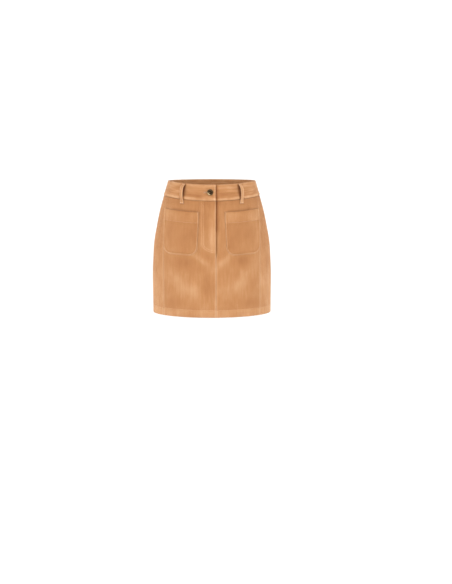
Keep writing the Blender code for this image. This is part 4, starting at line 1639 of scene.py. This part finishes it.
def beads(starts, ends, normals):
    """Points and faces of stitches, each from a start to an end on the cloth."""
    aside = np.cross(unit(ends - starts), normals)
    turns = np.linspace(0, 2 * np.pi, BEAD_SIDES, endpoint=False)[:, None]
    spoke = aside[:, None] * np.cos(turns) + normals[:, None] * np.sin(turns)
    rings = []
    for place, share, depth in BEAD:
        centre = starts + (ends - starts) * place - normals * depth
        rings.append(centre[:, None] + spoke * THREAD_RADIUS * share)
    points = np.stack(rings, axis=1).reshape(-1, 3)
    faces = []
    size = len(BEAD) * BEAD_SIDES
    for first in range(0, len(points), size):
        for base in range(first, first + size - BEAD_SIDES, BEAD_SIDES):
            for side in range(BEAD_SIDES):
                this, after = base + side, base + (side + 1) % BEAD_SIDES
                faces.append((this, after, after + BEAD_SIDES, this + BEAD_SIDES))
        faces.append(tuple(range(first + BEAD_SIDES - 1, first - 1, -1)))
        faces.append(tuple(range(first + size - BEAD_SIDES, first + size)))
    return points, faces


def line_beads(line, lift=nothing):
    """Stitches along a line of angles and drops, on cloth with that lift."""
    angle, drop = line
    points = surface(angle, drop, lift(angle, drop) - THREAD_DEPTH)
    normals = outward(angle, drop)
    run = run_along(points)
    start = np.arange(0.0008, run[-1] - STITCH_SHOWN, STITCH)

    def at(values, place):
        return np.stack([np.interp(place, run, values[:, axis]) for axis in range(3)], axis=-1)

    return at(points, start), at(points, start + STITCH_SHOWN), at(normals, start + STITCH_SHOWN / 2)


def make_stitching(name, rows):
    starts, ends, normals = (np.concatenate(parts) for parts in zip(*rows))
    points, faces = beads(starts, ends, normals)
    mesh = bpy.data.meshes.new(f"{name}_thread")
    mesh.from_pydata(points.tolist(), [], faces)
    mark_points(mesh, "grain", points)
    mesh.shade_smooth()
    print(len(starts), "stitches")
    add_piece(name, mesh, (thread,))


make_stitching("stitching_fly", [line_beads(line, fly_lift) for line in (*FLY_LINES, CENTRE_STITCH)])
make_stitching("stitching_long_seams", [
    *(line_beads(mirrored(line, side)) for line in SEAM_LINES for side in (1, -1)),
    line_beads(mirrored(CENTRE_BACK_STITCH))])
HEM_ENDS = (
    (-np.pi + 0.01, -2.20), (-2.19, -0.93), (-0.92, 0.066), (0.070, 0.92), (0.93, 2.19),
    (2.20, np.pi - 0.01))
make_stitching("stitching_hem", [line_beads(hem_stitch(*ends)) for ends in HEM_ENDS])
make_stitching("stitching_waistband", [
    *(line_beads(line, band_over_lift) for line in BAND_OVER_LINES),
    *(line_beads(line, band_under_lift) for line in band_lines(0.088, 3.12))])


# %% Pocket stitches
TACK_DROP = 0.0055
TACK_TURN = 0.02                # radians in from the pocket's side


def tack(angle, drop, lift, width=0.0016, length=0.007, count=11):
    """A bar tack: tight stitches side by side down a short bar."""
    angles = np.full(count, angle)
    drops = drop + np.linspace(-length / 2, length / 2, count)
    reach = turn(width / 2, angles, drops)
    starts, ends = (surface(angles + way * reach, drops, lift(angles, drops)) for way in (-1, 1))
    return starts, ends, outward(angles, drops)


def pocket_face(angle, drop):
    return pocket_lift(angle, drop) + 0.0006


def pocket_tacks(side):
    """A tack at each end of the mouth."""
    (inner,), (outer,) = pocket_edges(np.array([POCKET_TOP + 0.003]))
    return [tack(side * angle, POCKET_TOP + TACK_DROP, pocket_face)
            for angle in (inner + TACK_TURN, outer - TACK_TURN)]


for name, side in SIDES.items():
    make_stitching(f"stitching_pocket_{name}", [
        *(line_beads(mirrored(line, side), pocket_face)
          for line in (pocket_outline(EDGE_STITCH), pocket_hem_stitch())),
        *pocket_tacks(side)])


# %% Loop stitches
TACK_INSET = 0.0032
TACK_REACH = 0.0010


def loop_stitches(centre, place, reach, aside, depth, level):
    """Stitches on a loop, from before to after a place; level is where their upright is taken."""
    first, last, middle, under = (
        loop_point(centre, (place + shift) / LOOP_LENGTH, aside, at_depth)
        for shift, at_depth in ((-reach, depth), (reach, depth), (0.0, level), (0.0, level + 0.002)))
    return first, last, unit(middle - under)


def loop_beads(centre):
    """Two rows down a loop, and a bar tack across its head and its foot."""
    half = LOOP_WIDTH / 2
    place = np.arange(0.0035, LOOP_LENGTH - 0.006, STITCH) + STITCH_SHOWN / 2
    across = np.linspace(-half + 0.001, half - 0.001, 15)
    rows = [(place, STITCH_SHOWN / 2, np.full_like(place, aside), THREAD_DEPTH, 0.0)
            for aside in (LOOP_STITCH - half, half - LOOP_STITCH)]
    rows += [(np.full_like(across, middle), TACK_REACH, across, depth, depth)
             for middle, depth in ((TACK_INSET, 0.0001), (LOOP_LENGTH - TACK_INSET, -0.0009))]
    return [loop_stitches(centre, *row) for row in rows]


for where, centre in LOOPS.items():
    make_stitching(f"stitching_loop_{where}", loop_beads(centre))


# %% Buttonhole stitches
def buttonhole_beads(step=0.00075, height=0.0003, reaches=(-0.0001, 0.0017)):
    """Overcast stitches that stand all round the keyhole, close together."""
    outline = np.array([*buttonhole_outline, buttonhole_outline[0]])
    run = run_along(outline)
    place = np.arange(0.0, run[-1], step)
    point, ahead = (np.stack([np.interp(place + offset, run, outline[:, axis], period=run[-1])
                              for axis in (0, 1)], axis=-1) for offset in (0.0, 0.0003))
    away = unit(np.stack((ahead[:, 1] - point[:, 1], point[:, 0] - ahead[:, 0]), axis=-1))
    matrix = np.array(button_frame())
    up = np.full((len(place), 1), height)
    starts, ends = (np.hstack((point + away * reach, up)) @ matrix[:3, :3].T + matrix[:3, 3]
                    for reach in reaches)
    return starts, ends, np.tile(matrix[:3, 2], (len(place), 1))


make_stitching("stitching_buttonhole", [buttonhole_beads()])

# %% [markdown]
# ## What each piece is cut from
#
# Cloth hardly stretches, so a worn piece has about the area that it was cut to. The sizes were kept
# as each piece was made: the width across the grain at every row, and the length along it. The
# turned-in allowances don't count, because only the face shows.

SEWN_ON = {
    "front_right_corduroy": ["stitching_fly", "stitching_hem"],
    "side_left_corduroy": ["stitching_long_seams"],
    "waistband_right_corduroy": ["stitching_waistband", "stitching_buttonhole", "button_brass"],
    "zip_tape_woven": ["zip_teeth_brass", "zip_slider_brass"],
    **{f"pocket_{name}_corduroy": [f"stitching_pocket_{name}"] for name in SIDES},
    **{f"belt_loop_{where}_corduroy": [f"stitching_loop_{where}"] for where in LOOPS},
}
for name, cut in CUTS.items():
    list(cut.rests_on)
    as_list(SEWN_ON.get(name, []))
    print(f"{name}: {cut.width * 1000:.0f} x {cut.length * 1000:.0f} mm, {cut.area:.4f} m2")

# %% [markdown]
#
# A pale floor that curves up all round, like a studio's roll of paper, hides the horizon from every
# side. The light is soft: a broad panel on each side, one high in front and one behind, and a small
# lamp low in front. A small bright lamp alone would give hard shadows between the ribs.

# %% Stage
FLOOR_Z = -1.19
# radius and rise of the paper, from the middle out
FLOOR_OUTLINE = (
    (0.0, 0.0), (3.0, 0.0), (4.5, 0.05), (5.6, 0.3), (6.6, 1.0), (7.2, 2.2), (7.4, 4.0))


def make_floor():
    edit = bmesh.new()
    points = [edit.verts.new((radius, 0.0, FLOOR_Z + rise)) for radius, rise in FLOOR_OUTLINE]
    spin_outline(edit, points, 72, use_normal_flip=True)
    mesh = mesh_from(edit, "studio_floor")
    mesh.shade_smooth()
    paper, _, _ = new_material("matt_paper", base_color=linear("#FEFEFD"), roughness=0.9,
                               emission_color=linear("#FFFFFF"), emission_strength=0.10)
    mesh.materials.append(paper)
    place_object("studio_floor", mesh)


def add_light(name, place, aim, size, watts):
    data = bpy.data.lights.new(name, "AREA")
    data.shape = "SQUARE"
    data.size = size
    data.energy = watts
    lamp = place_object(name, data)
    lamp.location = place
    lamp.rotation_euler = (Vector(aim) - Vector(place)).to_track_quat("-Z", "Y").to_euler()


make_floor()
add_light("left_panel", (-3.2, -1.8, 0.6), (0, 0, -0.2), 1.8, 96)
add_light("right_panel", (3.2, -1.8, 0.6), (0, 0, -0.2), 1.8, 98)
add_light("low_kicker", (-1.3, -2.4, -0.8), (0, 0, 0), 0.12, 8)
add_light("back_panel", (0.0, 3.6, 0.9), (0, 0, -0.2), 2.0, 120)
add_light("top_panel", (0.0, -2.2, 2.8), (0, 0, -0.2), 1.4, 99)
world = bpy.data.worlds.new("studio")
bpy.context.scene.world = world
world.use_nodes = True
background = world.node_tree.nodes["Background"].inputs
background["Color"].default_value = linear("#F6F8FA")
background["Strength"].default_value = 0.625
bpy.context.scene.view_settings.view_transform = "Standard"
print(len(bpy.data.lights), "lights")
